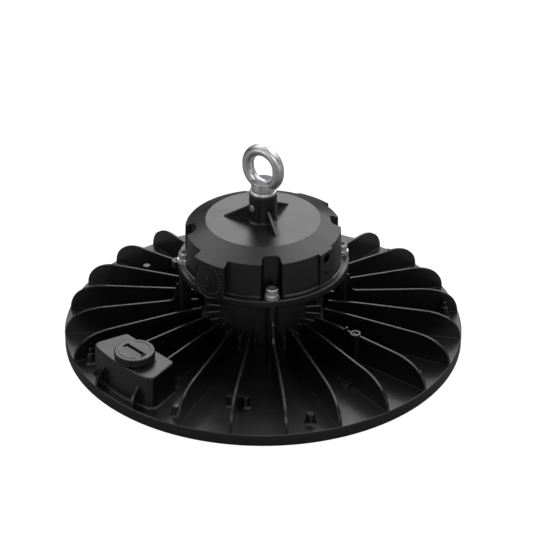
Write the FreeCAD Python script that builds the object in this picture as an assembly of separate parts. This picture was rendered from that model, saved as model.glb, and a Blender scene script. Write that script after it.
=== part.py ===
"""High bay light: a finned cast heat sink, a driver housing on four columns and an eyebolt.

Millimetres, +Z up, origin at the centre of the rim's underside. Angles are counter-clockwise
from +X, seen from above. The cable enters at 0 degrees.
"""
import FreeCAD, Part
import math
import os

Vector = FreeCAD.Vector
UP = Vector(0, 0, 1)

# Rim and disc of the heat sink
RIM_R = 170.0
RIM_H = 10.5
RIM_WALL = 6.0
RIM_EDGE = 0.6
DISC_CROWN = 2.5
DISC_FLAT_R = 40.0

# Lens side, from the rim's underside upwards
DOME_LIFT = 0.3
DOME_H = 2.6
DOME_R = 10.0
DOME_INSET = 13.5
DOME_RING_STEP = 36.5
INNER_DOME_COUNT = 12
OUTER_DOME_COUNT = 18
LENS_T = 2.0
CHIP_GAP = 0.3
CHIP_H = 0.7
CHIP_W = 6.0
LED_BOARD_T = 1.6
LED_BOARD_GAP = 3.0
LENS_SEAT_W = 14.0
LENS_EDGE_GAP = 0.4
LENS_SEAL_W = 2.5
LENS_SEAL_H = 1.0
LENS_SEAL_INSET = 1.5
SEAT_GAP = 0.1

# Fins
FIN_COUNT = 24
FIN_INNER_R = 56.0
FIN_RISE = 27.0
FIN_TIP_DROP = 2.8
FIN_SHOULDER_INSET = 32.0
FIN_FLAT_R = 80.0
FIN_END_INSET = 0.8
FIN_END_FOOT_H = 0.5
FIN_CORNER_POLES = ((0.64, 0.945), (1.0, 0.54))
FIN_TOP_T = 1.8
FIN_ROOT_T = 3.0

# Drum, short ribs round it and the four screw columns
DRUM_R = 36.5
DRUM_WALL = 4.0
LOW_RIB_R = 49.5
LOW_RIB_H = 13.0
LOW_RIB_T = 2.2
LOW_RIB_DRAFT = 0.4
LOW_RIB_CORNER = 1.0
WIRE_HOLE_R = 7.0
COLUMN_INSET = 5.9
COLUMN_R = 5.25
COLUMN_FOOT_R = 6.5
COLUMN_FOOT_H = 1.6
COLUMN_FIRST = 45.0
COLUMN_COUNT = 4
COLUMN_FIN_OUT = 14.8
COLUMN_FIN_EDGE = 9.1
COLUMN_FIN_LEAN = 1.0
COLUMN_FIN_ROUND = 3.2
COLUMN_FIN_TOP = 14.0

# Small posts and bosses cast on the disc, placed inwards from the rim
POST_R = 3.1
POST_FOOT_R = 4.2
POST_FILLET = 1.0
POST_H = 8.8
POST_DIMPLE_R = 2.0
POST_DIMPLE_DEPTH = 0.4
LENS_POST_INSET = 13.5
LENS_POST_COUNT = 9
LENS_POST_FIRST = 2.6
NUB_R = 1.5
NUB_H = 5.0
NUB_POSTS = (1, 6)
BOARD_BOSS_INSET = 51.0
BOARD_BOSS_ANGLES = (-16.7, 55.3, 127.3, 199.3)
BOARD_BOSS_R = 5.0
BOARD_BOSS_H = 1.8
SIDE_BOSS_INSET = 48.0
SIDE_BOSS_ANGLE = -87.0
SIDE_BOSS_H = 1.2
TWIN_POST_R = 3.7
TWIN_POST_FOOT_R = 4.1
TWIN_POST_INSET = 40.3
TWIN_POST_ANGLES = (-57.5, -62.5)
TWIN_POST_H = 9.3
TWIN_WEB_T = 3.0
HIGH_POST_INSET = 50.5
HIGH_POST_ANGLE = -172.0
HIGH_POST_H = 20.0
FIN_BOSS_R = 4.6
FIN_BOSS_INSET = 72.4
FIN_BOSS_H = 27.0
FIN_BOSS_HOLE_R = 2.7
FIN_BOSS_HOLE_DEPTH = 10.0
FIN_PIN_R = 1.4
FIN_PIN_INSET = 81.4
FIN_PIN_H = 29.0

# Sensor box on the disc, its socket and its turning cap
BOX_ANGLE = -98.35
BOX_HALF_ANGLE = 13.85
BOX_INNER_INSET = 45.6
BOX_OUTER_INSET = 8.5
BOX_TOP_H = 28.5
BOX_SKIRT = 1.2
BOX_CORNER_R = 6.0
BOX_INNER_CORNER_R = 3.0
BOX_DRAFT = 1.0
BOX_EDGE_R = 1.2
BOX_WALL = 3.0
PORT_ANGLE = -97.25
PORT_INSET = 25.6
PORT_R = 14.0
PORT_DEPTH = 21.0
PORT_WALL = 2.5
PORT_WIRE_R = 3.0
SOCKET_GAP = 0.2
SOCKET_RING_T = 3.0
SOCKET_FLOOR_T = 2.5
SOCKET_CHANNEL_R = 12.5
NECK_R = 10.4
NECK_WALL = 2.0
LUG_R = 12.1
LUG_T = 2.6
LUG_WIDTH = 7.0
TURN_GAP = 0.35
CAP_R = 16.7
CAP_H = 7.0
CAP_LOWER_H = 1.8
CAP_GROOVE_H = 0.7
CAP_GROOVE_DEPTH = 0.8
KNURL_COUNT = 40
KNURL_DEPTH = 0.5
CAP_EDGE = 0.6
SLOT_LENGTH = 22.0
SLOT_W = 5.5
SLOT_DEPTH = 1.4
SLOT_DEEP_W = 2.6
SLOT_DEEP_INSET = 0.4
SLOT_DEEP_DEPTH = 3.2
PLUG_SEAL_R = 15.0
PLUG_SEAL_W = 1.8
PLUG_SEAL_H = 1.2
CONTACT_COUNT = 3
CONTACT_PITCH_R = 4.0
CONTACT_W = 2.2
CONTACT_T = 0.8
CONTACT_H = 6.0
CONTACT_FOOT_INSET = 0.5

# Driver housing
HOUSING_LIFT = 57.5
FLANGE_R = 72.4
FLANGE_T = 6.5
FLANGE_EDGE = 0.8
WALL_INSET = 6.4
WALL_DRAFT = 0.8
WALL_H = 30.0
WALL_FILLET = 1.4
CONE_W = 17.0
CONE_H = 7.5
HOUSING_WALL = 3.2
HOUSING_ROOF = 3.5
POCKET_FLOOR_INSET = 15.7
POCKET_HALF_W = 7.2
POCKET_SPLAY = 0.135
POCKET_CORNER_R = 3.0
POCKET_LIP_R = 2.0
WIDE_PAD_HALF_ANGLE = 12.7
WIDE_PAD_ANGLES = (-90.0, 90.0)
DIAL_R = 15.3
DIAL_DEPTH = 0.7
DIAL_RISE = 16.5
PAD_SIDE_R = 1.6
CABLE_PAD_INSET = 5.5
CABLE_PAD_HALF_W = 8.3
CABLE_HOLE_R = 4.0
CABLE_HOLE_RISE = 29.3
CLAMP_HOLE_R = 1.65
CLAMP_HOLE_RISE = 15.3
CLAMP_HOLE_DEPTH = 3.0
EAR_ANGLE = -138.0
EAR_R = 4.2
EAR_OUT = 4.6
EAR_HOLE_R = 1.3
BASE_PLATE_T = 2.5
BASE_PLATE_RIM = 4.4
BASE_PLATE_GAP = 0.3
GASKET_T = 1.0
DRUM_SEAL_W = 1.6
DRUM_SEAL_H = 1.2

# Eyebolt and the boss that holds it
EYE_BOSS_R = 11.7
EYE_BOSS_H = 24.0
EYE_BOSS_FOOT = 1.3
WEB_COUNT = 3
WEB_FIRST = -30.0
WEB_R = 33.2
WEB_H = 11.8
WEB_TOP_T = 2.2
WEB_FOOT_T = 3.0
COLLAR_R = 11.35
COLLAR_H = 3.4
COLLAR_ROUND = 1.5
EYE_NECK_R = 10.0
EYE_NECK_H = 12.0
EYE_RING_R = 15.0
EYE_RING_STRAIGHT = 2.0
EYE_TUBE_R = 4.85
EYE_LIFT = 22.5
EYE_TURN = 4.4
EYE_SHANK_R = 5.0
EYE_SHANK_L = 15.0
EYE_HOLE_EXTRA = 1.5
LOCK_ANGLE = -105.0
LOCK_DROP = 10.8
LOCK_R = 3.0
LOCK_STANDOUT = 0.7
SHANK_TIP = 1.0

# Fasteners: radius of the shank, then of the head, and the heads' heights
THREAD_GAP = 0.15
M6_R = 3.0
M6_HEAD_R = 5.0
M6_HEAD_H = 6.0
M6_LENGTH = 30.0
M6_SOCKET = 5.0
WASHER_R = 6.0
WASHER_T = 1.6
SPRING_R = 5.9
SPRING_T = 1.8
SPRING_GAP = 1.5
M4_R = 2.0
M4_HEAD_R = 3.75
M4_HEAD_H = 2.2
M4_LENGTH = 12.0
M4_SOCKET = 2.5
HEAD_EDGE = 0.15
M3_R = 1.5
M3_HEAD_R = 3.0
M3_HEAD_H = 0.8
M3_LENGTH = 5.5
BLIND_EXTRA = 0.8
SCREW_HOLE_GAP = 0.3

# Driver parts inside the housing
DRIVER_BOARD_INSET = 22.4
DRIVER_BOARD_T = 1.6
STANDOFF_H = 8.0
STANDOFF_R = 3.0
STANDOFF_INSET = 6.0
STANDOFF_COUNT = 4
DRIVER_SCREW_HEAD_H = 2.0
DRIVER_SCREW_L = 6.0
CORE_LENGTH = 28.0
CORE_W = 14.0
CORE_H = 22.0
CORE_YOKE = 4.0
CORE_LEG = 7.0
WINDING_GAP = 0.3
CHOKE_R = 9.0
CHOKE_BORE_R = 4.5
CHOKE_H = 9.0
CHOKE_INSET = 24.0
CHOKE_Y = -16.0
CAPACITOR_R = 6.0
CAPACITOR_H = 20.0
CAPACITOR_INSET = 26.0
CAPACITOR_PITCH = 13.5
CAPACITOR_Y = 4.0
CAPACITOR_COUNT = 3
TERMINAL_INSET = 16.0
TERMINAL_L = 18.0
TERMINAL_W = 9.0
TERMINAL_H = 11.0
TERMINAL_WAYS = 3
TERMINAL_HOLE_R = 1.6
TERMINAL_HOLE_DEPTH = 6.0
LEAD_R = 1.2
LEAD_SPACING = 5.0
GROMMET_R = 8.0
GROMMET_LIP = 2.0
GROMMET_LIP_T = 1.0

# Radii that follow from the sizes above
LENS_SEAT_R = RIM_R - RIM_WALL
SEAT_INNER_R = LENS_SEAT_R - LENS_SEAT_W
LED_BOARD_R = SEAT_INNER_R - LED_BOARD_GAP
OUTER_DOME_PITCH_R = LED_BOARD_R - DOME_INSET
INNER_DOME_PITCH_R = OUTER_DOME_PITCH_R - DOME_RING_STEP
FIN_SHOULDER_R = RIM_R - FIN_SHOULDER_INSET
LENS_POST_PITCH_R = RIM_R - LENS_POST_INSET
BOARD_BOSS_PITCH_R = RIM_R - BOARD_BOSS_INSET
SIDE_BOSS_PITCH_R = RIM_R - SIDE_BOSS_INSET
TWIN_POST_PITCH_R = RIM_R - TWIN_POST_INSET
HIGH_POST_PITCH_R = RIM_R - HIGH_POST_INSET
FIN_BOSS_PITCH_R = RIM_R - FIN_BOSS_INSET
FIN_PIN_PITCH_R = RIM_R - FIN_PIN_INSET
BOX_INNER_U = RIM_R - BOX_INNER_INSET
BOX_OUTER_R = RIM_R - BOX_OUTER_INSET
PORT_PITCH_R = RIM_R - PORT_INSET
COLUMN_PITCH_R = FLANGE_R - COLUMN_INSET
WALL_FOOT_R = FLANGE_R - WALL_INSET
WALL_TOP_R = WALL_FOOT_R - WALL_DRAFT
CONE_TOP_R = WALL_TOP_R - CONE_W
POCKET_FLOOR_R = FLANGE_R - POCKET_FLOOR_INSET
CABLE_PAD_X = FLANGE_R - CABLE_PAD_INSET
EAR_X = FLANGE_R + EAR_OUT - EAR_R
DRIVER_BOARD_R = FLANGE_R - DRIVER_BOARD_INSET
STANDOFF_PITCH_R = DRIVER_BOARD_R - STANDOFF_INSET
TERMINAL_X = DRIVER_BOARD_R - TERMINAL_INSET
CHOKE_X = CHOKE_INSET - DRIVER_BOARD_R
CAPACITOR_X = CAPACITOR_INSET - DRIVER_BOARD_R
DOME_RINGS = ((INNER_DOME_PITCH_R, INNER_DOME_COUNT), (OUTER_DOME_PITCH_R, OUTER_DOME_COUNT))

# Levels that follow from the sizes above
LENS_BOTTOM_Z = DOME_LIFT + DOME_H
LENS_TOP_Z = LENS_BOTTOM_Z + LENS_T
BOARD_BOTTOM_Z = LENS_TOP_Z + CHIP_GAP + CHIP_H
WEB_Z = BOARD_BOTTOM_Z + LED_BOARD_T
CROWN_Z = RIM_H + DISC_CROWN
ROOT_Z = (WEB_Z + RIM_H) / 2
FIN_TOP_Z = RIM_H + FIN_RISE
BOX_TOP_Z = RIM_H + BOX_TOP_H
HOUSING_Z = RIM_H + HOUSING_LIFT
FLANGE_Z = HOUSING_Z + FLANGE_T
WALL_TOP_Z = FLANGE_Z + WALL_H
ROOF_Z = WALL_TOP_Z + CONE_H
BOSS_Z = ROOF_Z + EYE_BOSS_H
CONE_SLOPE = CONE_H / (WALL_TOP_R - CONE_TOP_R)
BASE_PLATE_R = FLANGE_R - BASE_PLATE_RIM
BASE_PLATE_Z = HOUSING_Z + BASE_PLATE_T
CAVITY_Z = BASE_PLATE_Z + GASKET_T
DRIVER_BOARD_Z = BASE_PLATE_Z + STANDOFF_H
DRIVER_TOP_Z = DRIVER_BOARD_Z + DRIVER_BOARD_T
COLUMN_ANGLES = tuple(COLUMN_FIRST + 360.0 * k / COLUMN_COUNT for k in range(COLUMN_COUNT))
LENS_POST_ANGLES = tuple(LENS_POST_FIRST + 360.0 * k / LENS_POST_COUNT
                         for k in range(LENS_POST_COUNT))
BOARD_SCREW_PLACES = tuple((BOARD_BOSS_PITCH_R, angle) for angle in BOARD_BOSS_ANGLES)
BOARD_SCREW_PLACES += ((SIDE_BOSS_PITCH_R, SIDE_BOSS_ANGLE),)


def disc_z(radius):
    """Height of the disc's top face at a radius."""
    slope = DISC_CROWN / (RIM_R - RIM_EDGE - DISC_FLAT_R)
    return CROWN_Z - slope * max(0.0, radius - DISC_FLAT_R)


def place(radius, angle, z):
    """Point at a radius and an angle about the axis."""
    turn = math.radians(angle)
    return Vector(radius * math.cos(turn), radius * math.sin(turn), z)


def turned(shape, angle):
    """Copy of a shape turned about the axis."""
    copy = shape.copy()
    copy.rotate(Vector(0, 0, 0), UP, angle)
    return copy


def rod(radius, base, height, direction=UP):
    """Cylinder from a base point along a direction."""
    return Part.makeCylinder(radius, height, base, direction)


def tube(outer, inner, base, height):
    """Upright ring with a plain bore."""
    return rod(outer, base, height).cut(rod(inner, base, height))


def box(low, high):
    """Block between two corners."""
    size = high.sub(low)
    return Part.makeBox(size.x, size.y, size.z, low)


def revolved(points):
    """Solid of revolution about the axis from (radius, height) corners."""
    outline = [Vector(r, 0, z) for r, z in points]
    face = Part.Face(Part.makePolygon(outline + outline[:1]))
    return face.revolve(Vector(0, 0, 0), UP, 360)


def prism(points, base_z, height):
    """Upright prism over (x, y) corners."""
    outline = [Vector(x, y, base_z) for x, y in points]
    face = Part.Face(Part.makePolygon(outline + outline[:1]))
    return face.extrude(Vector(0, 0, height))


def bezier(*points):
    """Bezier edge in the XZ plane through its (radius, height) poles."""
    curve = Part.BezierCurve()
    curve.setPoles([Vector(r, 0, z) for r, z in points])
    return curve.toShape()


def line(start, end):
    """Straight edge in the XZ plane between (radius, height) points."""
    return Part.LineSegment(Vector(start[0], 0, start[1]), Vector(end[0], 0, end[1])).toShape()


def drafted_plate(edges, root_t, top_t, root_z, top_z):
    """Upright plate over an outline in the XZ plane, thinner towards its top."""
    face = Part.Face(Part.Wire(edges))
    plate = face.extrude(Vector(0, root_t, 0))
    plate.translate(Vector(0, -root_t / 2, 0))
    reach = plate.BoundBox
    section = [
        Vector(reach.XMin, -root_t / 2, root_z),
        Vector(reach.XMin, root_t / 2, root_z),
        Vector(reach.XMin, top_t / 2, top_z),
        Vector(reach.XMin, -top_t / 2, top_z),
    ]
    wedge = Part.Face(Part.makePolygon(section + section[:1])).extrude(Vector(reach.XLength, 0, 0))
    return plate.common(wedge)


def hexagon(across, base_z, height):
    """Upright hexagonal prism on the axis."""
    corner = across / math.sqrt(3)
    return prism([(corner * math.cos(k * math.pi / 3), corner * math.sin(k * math.pi / 3))
                  for k in range(6)], base_z, height)


def group(shapes):
    """Several separate solids as one shape."""
    return Part.makeCompound(shapes)


def fin_outline():
    """Outline of a plain fin: flat top, gentle fall, round outer corner."""
    end_r = RIM_R - FIN_END_INSET
    shoulder_z = FIN_TOP_Z - FIN_TIP_DROP
    foot_z = RIM_H + FIN_END_FOOT_H
    poles = [(FIN_SHOULDER_R + across * (end_r - FIN_SHOULDER_R), RIM_H + up * (shoulder_z - RIM_H))
             for across, up in FIN_CORNER_POLES]
    return [
        line((FIN_INNER_R, ROOT_Z), (FIN_INNER_R, FIN_TOP_Z)),
        line((FIN_INNER_R, FIN_TOP_Z), (FIN_FLAT_R, FIN_TOP_Z)),
        line((FIN_FLAT_R, FIN_TOP_Z), (FIN_SHOULDER_R, shoulder_z)),
        bezier((FIN_SHOULDER_R, shoulder_z), *poles, (end_r, foot_z)),
        line((end_r, foot_z), (end_r, ROOT_Z)),
        line((end_r, ROOT_Z), (FIN_INNER_R, ROOT_Z)),
    ]


def column_web_outline():
    """Outline of the raised inner part of a column's fin, with its edge rounded at foot and top."""
    top_z = HOUSING_Z - COLUMN_FIN_TOP
    foot_r = COLUMN_PITCH_R + COLUMN_FIN_OUT
    edge_r = COLUMN_PITCH_R + COLUMN_FIN_EDGE
    high_r = edge_r - COLUMN_FIN_LEAN
    sweep = foot_r - edge_r
    return [
        bezier((foot_r, FIN_TOP_Z), (edge_r, FIN_TOP_Z), (edge_r, FIN_TOP_Z + sweep)),
        line((edge_r, FIN_TOP_Z + sweep), (high_r, top_z - COLUMN_FIN_ROUND)),
        bezier((high_r, top_z - COLUMN_FIN_ROUND), (high_r, top_z), (high_r - COLUMN_FIN_ROUND, top_z)),
        line((high_r - COLUMN_FIN_ROUND, top_z), (COLUMN_PITCH_R, top_z)),
        line((COLUMN_PITCH_R, top_z), (COLUMN_PITCH_R, ROOT_Z)),
        line((COLUMN_PITCH_R, ROOT_Z), (foot_r, ROOT_Z)),
        line((foot_r, ROOT_Z), (foot_r, FIN_TOP_Z)),
    ]


def low_rib_outline():
    """Outline of the short flat-topped rib at the drum's foot."""
    top_z = RIM_H + LOW_RIB_H
    start = DRUM_R - DRUM_WALL / 2
    return [
        line((start, ROOT_Z), (start, top_z)),
        line((start, top_z), (LOW_RIB_R - LOW_RIB_CORNER, top_z)),
        line((LOW_RIB_R - LOW_RIB_CORNER, top_z), (LOW_RIB_R, top_z - LOW_RIB_CORNER)),
        line((LOW_RIB_R, top_z - LOW_RIB_CORNER), (LOW_RIB_R, ROOT_Z)),
        line((LOW_RIB_R, ROOT_Z), (start, ROOT_Z)),
    ]


def post(radius, foot_r, pitch_r, angle, height):
    """Round cast post on the disc, drafted towards its top, with a sloping ring at its foot."""
    foot_z = disc_z(pitch_r)
    shape = Part.makeCone(foot_r, radius, foot_z + height - ROOT_Z)
    ring_r = foot_r + foot_z + POST_FILLET - ROOT_Z
    ring = Part.makeCone(ring_r, foot_r, ring_r - foot_r)
    shape = shape.fuse(ring)
    shape.translate(place(pitch_r, angle, ROOT_Z))
    return shape


def sector_outline(inner_u, outer_r, half_angle, inset, inner_corner, outer_corner, z):
    """Closed wire of the box's plan: chord inside, radial sides, arc outside, rounded corners.

    The box lies along +X. Inset moves every side inwards.
    """
    turn = math.radians(half_angle)
    u = inner_u + inset
    radius = outer_r - inset
    shift = inset / math.cos(turn)
    inner_v = u * math.tan(turn) - shift
    # Where the side line v = u tan(a) - shift meets the outer circle
    slope = math.tan(turn)
    root = math.sqrt((1 + slope ** 2) * radius ** 2 - shift ** 2)
    outer_u = (slope * shift + root) / (1 + slope ** 2)
    outer_v = slope * outer_u - shift
    corners = [Vector(u, -inner_v, z), Vector(outer_u, -outer_v, z),
               Vector(outer_u, outer_v, z), Vector(u, inner_v, z)]
    edges = [Part.LineSegment(corners[0], corners[1]).toShape(),
             Part.Arc(corners[1], Vector(radius, 0, z), corners[2]).toShape(),
             Part.LineSegment(corners[2], corners[3]).toShape(),
             Part.LineSegment(corners[3], corners[0]).toShape()]
    solid = Part.Face(Part.Wire(edges)).extrude(UP)
    for corner_r, at_corners in ((outer_corner, corners[1:3]), (inner_corner, corners[::3])):
        upright = [edge for edge in solid.Edges
                   if edge.BoundBox.ZLength > UP.Length / 2
                   and any(edge.Vertexes[0].Point.sub(corner).cross(UP).Length < 0.01
                           for corner in at_corners)]
        solid = solid.makeFillet(corner_r, upright)
    foot = min(solid.Faces, key=lambda face: face.CenterOfMass.z)
    return foot.OuterWire


def box_outline(inset, inner_corner, outer_corner, z):
    """Plan of the sensor box at a level, its sides moved inwards by the inset."""
    return sector_outline(BOX_INNER_U, BOX_OUTER_R, BOX_HALF_ANGLE, inset, inner_corner, outer_corner, z)


def sensor_box():
    """Cast box for the sensor socket: drafted sides, rounded top edge and a sloping skirt."""
    foot = box_outline(0.0, BOX_INNER_CORNER_R, BOX_CORNER_R, ROOT_Z)
    top = box_outline(BOX_DRAFT, BOX_INNER_CORNER_R, BOX_CORNER_R, BOX_TOP_Z)
    body = Part.makeLoft([foot, top], True, True)
    rim = [edge for edge in body.Edges if edge.BoundBox.ZMin > BOX_TOP_Z - 0.01]
    body = body.makeFillet(BOX_EDGE_R, rim)
    skirt_z = disc_z(BOX_OUTER_R) + BOX_SKIRT
    rise = skirt_z - ROOT_Z
    low = box_outline(-rise, BOX_INNER_CORNER_R + rise, BOX_CORNER_R + rise, ROOT_Z)
    high = box_outline(0.0, BOX_INNER_CORNER_R, BOX_CORNER_R, skirt_z)
    skirt = Part.makeLoft([low, high], True, True)
    return turned(body.fuse(skirt), BOX_ANGLE)


def sensor_box_core():
    """Hollow of the box, open to the underside inside the lens seal."""
    inset = BOX_WALL + BOX_DRAFT
    outline = box_outline(inset, BOX_INNER_CORNER_R / 2, BOX_INNER_CORNER_R, WEB_Z - 1)
    hollow = Part.Face(outline).extrude(Vector(0, 0, BOX_TOP_Z - BOX_WALL - WEB_Z + 1))
    hollow = turned(hollow, BOX_ANGLE)
    hollow = hollow.common(rod(LED_BOARD_R, Vector(0, 0, 0), BOX_TOP_Z))
    sleeve = rod(PORT_R + PORT_WALL, port_centre(BOX_TOP_Z - PORT_DEPTH - PORT_WALL),
                 PORT_DEPTH + PORT_WALL)
    return hollow.cut(sleeve)


def port_centre(z):
    """Point on the sensor socket's axis."""
    return place(PORT_PITCH_R, PORT_ANGLE, z)


def disc_with_rim():
    """The disc, its rim and the recesses of the lens side."""
    groove_in = SEAT_INNER_R + LENS_SEAL_INSET
    groove_out = groove_in + LENS_SEAL_W
    groove_z = LENS_TOP_Z + LENS_SEAL_H
    return revolved([
        (WIRE_HOLE_R, WEB_Z), (SEAT_INNER_R, WEB_Z), (SEAT_INNER_R, LENS_TOP_Z),
        (groove_in, LENS_TOP_Z), (groove_in, groove_z), (groove_out, groove_z),
        (groove_out, LENS_TOP_Z), (LENS_SEAT_R, LENS_TOP_Z), (LENS_SEAT_R, RIM_EDGE),
        (LENS_SEAT_R + RIM_EDGE, 0), (RIM_R - RIM_EDGE, 0), (RIM_R, RIM_EDGE),
        (RIM_R, RIM_H - RIM_EDGE), (RIM_R - RIM_EDGE, RIM_H), (DISC_FLAT_R, CROWN_Z),
        (WIRE_HOLE_R, CROWN_Z)])


def heat_sink():
    """Cast heat sink: disc, fins, drum, columns, posts and sensor box in one piece."""
    adds = []
    fin = drafted_plate(fin_outline(), FIN_ROOT_T, FIN_TOP_T, ROOT_Z, FIN_TOP_Z)
    low_rib = drafted_plate(low_rib_outline(), LOW_RIB_T + LOW_RIB_DRAFT, LOW_RIB_T,
                            ROOT_Z, RIM_H + LOW_RIB_H)
    for k in range(FIN_COUNT):
        adds.append(turned(fin, 360.0 * k / FIN_COUNT))
        adds.append(turned(low_rib, 360.0 * k / FIN_COUNT))
    web = drafted_plate(column_web_outline(), FIN_ROOT_T, FIN_TOP_T,
                        ROOT_Z, HOUSING_Z - COLUMN_FIN_TOP)
    for angle in COLUMN_ANGLES:
        foot = place(COLUMN_PITCH_R, angle, ROOT_Z)
        adds.append(turned(web, angle))
        adds.append(rod(COLUMN_R, foot, HOUSING_Z - ROOT_Z))
        adds.append(rod(COLUMN_FOOT_R, foot, disc_z(COLUMN_PITCH_R) + COLUMN_FOOT_H - ROOT_Z))
    adds.append(rod(DRUM_R, Vector(0, 0, ROOT_Z), HOUSING_Z - ROOT_Z))
    adds.extend(cast_posts())
    adds.append(sensor_box())
    body = disc_with_rim().multiFuse(adds)
    boss_bore = rod(FIN_BOSS_HOLE_R, place(FIN_BOSS_PITCH_R, 0, RIM_H + FIN_BOSS_H - FIN_BOSS_HOLE_DEPTH),
                    FIN_BOSS_HOLE_DEPTH)
    body = body.cut(group(heat_sink_cuts() + [boss_bore.cut(fin)]))
    return body.removeSplitter()


def cast_posts():
    """Posts, pads and bosses that stand on the disc."""
    posts = []
    for index, angle in enumerate(LENS_POST_ANGLES):
        posts.append(post(POST_R, POST_FOOT_R, LENS_POST_PITCH_R, angle, POST_H))
        if index in NUB_POSTS:
            top = disc_z(LENS_POST_PITCH_R) + POST_H
            posts.append(rod(NUB_R, place(LENS_POST_PITCH_R, angle, top - POST_DIMPLE_DEPTH), NUB_H))
    for radius, angle in BOARD_SCREW_PLACES:
        height = SIDE_BOSS_H if angle == SIDE_BOSS_ANGLE else BOARD_BOSS_H
        posts.append(rod(BOARD_BOSS_R, place(radius, angle, ROOT_Z), disc_z(radius) + height - ROOT_Z))
    for angle in TWIN_POST_ANGLES:
        posts.append(post(TWIN_POST_R, TWIN_POST_FOOT_R, TWIN_POST_PITCH_R, angle, TWIN_POST_H))
    posts.append(twin_web())
    posts.append(post(POST_R, POST_FOOT_R, HIGH_POST_PITCH_R, HIGH_POST_ANGLE, HIGH_POST_H))
    posts.append(rod(FIN_BOSS_R, place(FIN_BOSS_PITCH_R, 0, ROOT_Z), RIM_H + FIN_BOSS_H - ROOT_Z))
    posts.append(rod(FIN_PIN_R, place(FIN_PIN_PITCH_R, 0, RIM_H), FIN_PIN_H))
    return posts


def twin_web():
    """Web that ties the twin posts to the fin between them."""
    ends = [place(TWIN_POST_PITCH_R, angle, 0) for angle in TWIN_POST_ANGLES]
    span = ends[1].sub(ends[0])
    top_z = disc_z(TWIN_POST_PITCH_R) + TWIN_POST_H
    web = box(Vector(0, -TWIN_WEB_T / 2, ROOT_Z), Vector(span.Length, TWIN_WEB_T / 2, top_z))
    web.rotate(Vector(0, 0, 0), UP, math.degrees(math.atan2(span.y, span.x)))
    web.translate(ends[0])
    return web


def heat_sink_cuts():
    """Bores, blind holes and hollows of the heat sink."""
    drum_hole = rod(DRUM_R - DRUM_WALL, Vector(0, 0, CROWN_Z), HOUSING_Z - CROWN_Z)
    wire_hole = rod(WIRE_HOLE_R, Vector(0, 0, 0), CROWN_Z + 1)
    seal_mid = DRUM_R - DRUM_WALL / 2
    seal_groove = tube(seal_mid + DRUM_SEAL_W / 2, seal_mid - DRUM_SEAL_W / 2,
                       Vector(0, 0, HOUSING_Z - DRUM_SEAL_H), DRUM_SEAL_H)
    cuts = [drum_hole, wire_hole, seal_groove, sensor_box_core()]
    cuts.append(rod(PORT_R, port_centre(BOX_TOP_Z - PORT_DEPTH), PORT_DEPTH))
    cuts.append(rod(PORT_WIRE_R, port_centre(0), BOX_TOP_Z - PORT_DEPTH))
    tip_z = FLANGE_Z + WASHER_T + SPRING_T - M6_LENGTH - BLIND_EXTRA
    for angle in COLUMN_ANGLES:
        cuts.append(rod(M6_R + THREAD_GAP, place(COLUMN_PITCH_R, angle, tip_z), HOUSING_Z - tip_z))
    post_top = disc_z(LENS_POST_PITCH_R) + POST_H
    for index, angle in enumerate(LENS_POST_ANGLES):
        cuts.append(rod(M4_R + THREAD_GAP, place(LENS_POST_PITCH_R, angle, 0),
                        LENS_BOTTOM_Z + M4_LENGTH + BLIND_EXTRA))
        if index not in NUB_POSTS:
            cuts.append(rod(POST_DIMPLE_R, place(LENS_POST_PITCH_R, angle, post_top - POST_DIMPLE_DEPTH),
                            POST_DIMPLE_DEPTH))
    for radius, angle in BOARD_SCREW_PLACES:
        cuts.append(rod(M3_R + THREAD_GAP, place(radius, angle, 0),
                        BOARD_BOTTOM_Z + M3_LENGTH + BLIND_EXTRA))
    return cuts


def lens_plate():
    """Clear cover with a dome over each cluster of chips, and its screw holes."""
    plate = rod(LENS_SEAT_R - LENS_EDGE_GAP, Vector(0, 0, LENS_BOTTOM_Z), LENS_T)
    ball_r = (DOME_R ** 2 + DOME_H ** 2) / (2 * DOME_H)
    dome = Part.makeSphere(ball_r, Vector(0, 0, 0))
    dome.rotate(Vector(0, 0, 0), Vector(1, 0, 0), 180)
    dome = dome.common(rod(ball_r, Vector(0, 0, -ball_r), DOME_H + LENS_T / 2))
    domes = []
    for pitch_r, count in DOME_RINGS:
        for k in range(count):
            copy = dome.copy()
            copy.translate(place(pitch_r, 360.0 * k / count, DOME_LIFT + ball_r))
            domes.append(copy)
    plate = plate.multiFuse(domes)
    holes = [rod(M4_R + SCREW_HOLE_GAP, place(LENS_POST_PITCH_R, angle, 0), LENS_TOP_Z + 1)
             for angle in LENS_POST_ANGLES]
    return plate.cut(group(holes)).removeSplitter()


def lens_gasket():
    """Seal ring in the groove of the lens seat."""
    groove_in = SEAT_INNER_R + LENS_SEAL_INSET
    return tube(groove_in + LENS_SEAL_W - SEAT_GAP, groove_in + SEAT_GAP,
                Vector(0, 0, LENS_TOP_Z), LENS_SEAL_H)


def headed_screw(shank_r, length, head_r, head_h, socket, socket_depth):
    """Screw with its shank up from the origin and its head below, hex socket underneath."""
    shank = rod(shank_r, Vector(0, 0, -head_h / 2), length + head_h / 2)
    edge = HEAD_EDGE * head_h
    head = revolved([(0, -head_h), (head_r - edge, -head_h), (head_r, edge - head_h), (head_r, 0), (0, 0)])
    screw = head.fuse(shank)
    if socket_depth > 0:
        screw = screw.cut(hexagon(socket, -head_h, socket_depth))
    return screw


def copies_at(shape, places, z):
    """A shape copied to each (radius, angle) place at one level."""
    made = []
    for radius, angle in places:
        copy = shape.copy()
        copy.translate(place(radius, angle, z))
        made.append(copy)
    return group(made)


def copies_round(shape, pitch_r, angles, z):
    """A shape copied to each angle on a pitch circle."""
    return copies_at(shape, [(pitch_r, angle) for angle in angles], z)


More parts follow.
